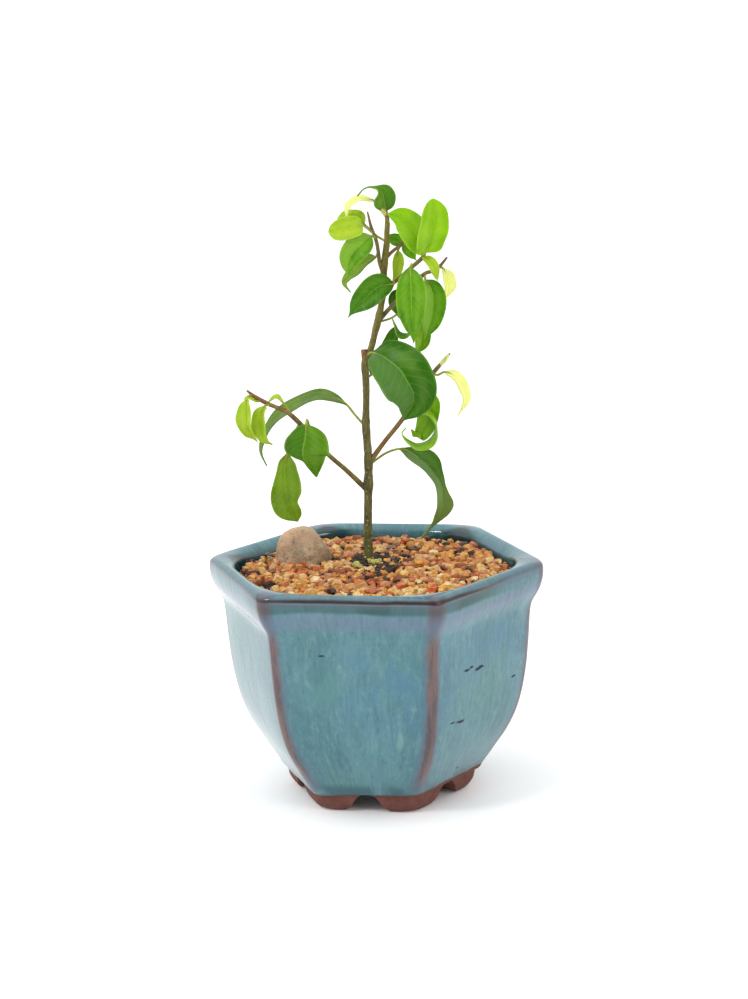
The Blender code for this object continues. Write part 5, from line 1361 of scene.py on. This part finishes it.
def make_leaf(name, node_name, finishes):
    """Blade bent from a flat grid, thickened and smoothed, and its stalk."""
    leaf = LEAVES[name]
    blade = begin(bpy.ops.mesh.primitive_grid_add, **BLADE_GRID)
    for vert in blade.data.vertices:
        vert.co = place(*blade_point(leaf, (vert.co.x + 1) / 2, vert.co.y))
    thick = blade.modifiers.new("thickness", "SOLIDIFY")
    thick.thickness = BLADE * MM
    thick.offset = 0
    apply_all(blade)
    bpy.ops.object.shade_smooth_by_angle(angle=LEAF_CREASE)
    dress(blade, "leaf_" + name, finishes[leaf.finish], node_name)
    rows = [(*point, STALK) for point in [*leaf.stalk, leaf.rib[0]]]
    rows.append((*smooth_along(leaf.rib, STALK_SUNK / 2), STALK * 0.8))
    rows.append((*smooth_along(leaf.rib, STALK_SUNK), STALK_END))
    dress(model_stem(rows, 1), "stalk_" + name, finishes["stalk"], node_name)


def make_plant(finishes):
    """The leafy shoots, the dry stalk, the sheaths and the leaves on the trunk."""
    for node_name, (stem_rows, leaf_names) in SHOOTS.items():
        stem = model_stem(stem_rows, 2, STEM_LUMPS)
        dress(stem, node_name + "_stem", finishes["twig"], node_name)
        for leaf_name in leaf_names:
            make_leaf(leaf_name, node_name, finishes)
    dress(model_stem(DRY_STALK, 1), "dry_stalk", finishes["twig"], None)
    for node_name, rows in SHEATHS.items():
        dress(model_stem(rows), node_name + "_sheath", finishes["sheath"], node_name)
    for node_name, leaf_name in TRUNK_LEAVES.items():
        make_leaf(leaf_name, node_name, finishes)


# Studio

def make_camera():
    """Camera at the photograph's viewing angle."""
    turn, drop, roll = VIEW_TURN, VIEW_DROP, VIEW_ROLL
    ahead = Vector((-math.sin(turn) * math.cos(drop), math.cos(turn) * math.cos(drop), -math.sin(drop)))
    level = Vector((math.cos(turn), math.sin(turn), 0))
    upward = level.cross(ahead)
    right = level * math.cos(roll) + upward * math.sin(roll)
    up = upward * math.cos(roll) - level * math.sin(roll)
    aim = (level * AIM_RIGHT + Vector((0, 0, AIM_HEIGHT + SOLE_LEVEL))) * MM
    data = bpy.data.cameras.new("viewer")
    data.sensor_fit = "VERTICAL"
    data.sensor_height = SENSOR
    data.lens = FOCAL_PIXELS / PICTURE_HEIGHT * SENSOR
    camera = link("viewer", data)
    stand = Matrix((right, up, -ahead)).transposed().to_4x4()
    stand.translation = aim - ahead * VIEW_REACH * MM
    camera.matrix_world = stand
    bpy.context.scene.camera = camera


def make_lamp(name, kind, spot, aim, power, size):
    data = bpy.data.lights.new(name, kind)
    data.energy = power
    if kind == "SUN":
        data.angle = math.radians(size)
    else:
        data.shape = "DISK"
        data.size = size
    lamp = link(name, data)
    lamp.location = spot
    lamp.rotation_euler = (Vector(aim) - Vector(spot)).to_track_quat("-Z", "Y").to_euler()


def make_room():
    """White room that is dimmer on the viewer's side, so that gloss has something dark to show."""
    room = bpy.data.worlds.new("white_room")
    room.use_nodes = True
    room.node_tree.nodes.clear()
    toward = Field(new_node(room.node_tree, "TexCoord").outputs["Generated"])
    facing = (math.sin(VIEW_TURN), -math.cos(VIEW_TURN), 0.05)
    share = worked("VectorMath", {0: toward, 1: facing}, "Value", operation="DOT_PRODUCT")
    strength = between(share, *ROOM_TURN, ROOM_BRIGHT, ROOM_DIM)
    seen = Field(new_node(room.node_tree, "LightPath").outputs["Is Camera Ray"])
    strength = maths("MAXIMUM", strength, seen * ROOM_BRIGHT)
    bpy.context.scene.world = finished(
        room, worked("Background", {"Color": WHITE, "Strength": strength}), "World")


def make_studio():
    """Pale floor, white room and three lamps."""
    floor = begin(bpy.ops.mesh.primitive_circle_add, vertices=64, radius=FLOOR_REACH, fill_type="NGON")
    floor.name = "pale_floor"
    floor.data.materials.append(floor_finish())
    make_room()
    bpy.context.scene.view_settings.view_transform = "Standard"
    for lamp in LAMPS:
        make_lamp(*lamp)


make_camera()
make_studio()

finishes = {name: leaf_finish(name) for name in LEAF_TONES}
finishes.update({name: skin_finish(name) for name in SKIN_TONES})
soil, gravel = grainy_finish("damp_soil"), gravel_finish()

make_pot(glaze_finish())
redress("drain_screen", grainy_finish("black_plastic"))
redress("soil", soil)

trunk_place = place(*TRUNK_FOOT) / MM
kinds = [model_grain(kind) for kind in range(GRAIN_KINDS)]
make_gravel(gravel, kinds)
make_bed(gravel)
make_mound(soil)
make_crumbs(soil, kinds)
make_moss(grainy_finish("moss"), kinds)
for kind in kinds:
    bpy.data.objects.remove(kind)
make_stone(stone_finish())
make_trunk(bark_finish(), grainy_finish("old_cut_wood"))
make_plant(finishes)
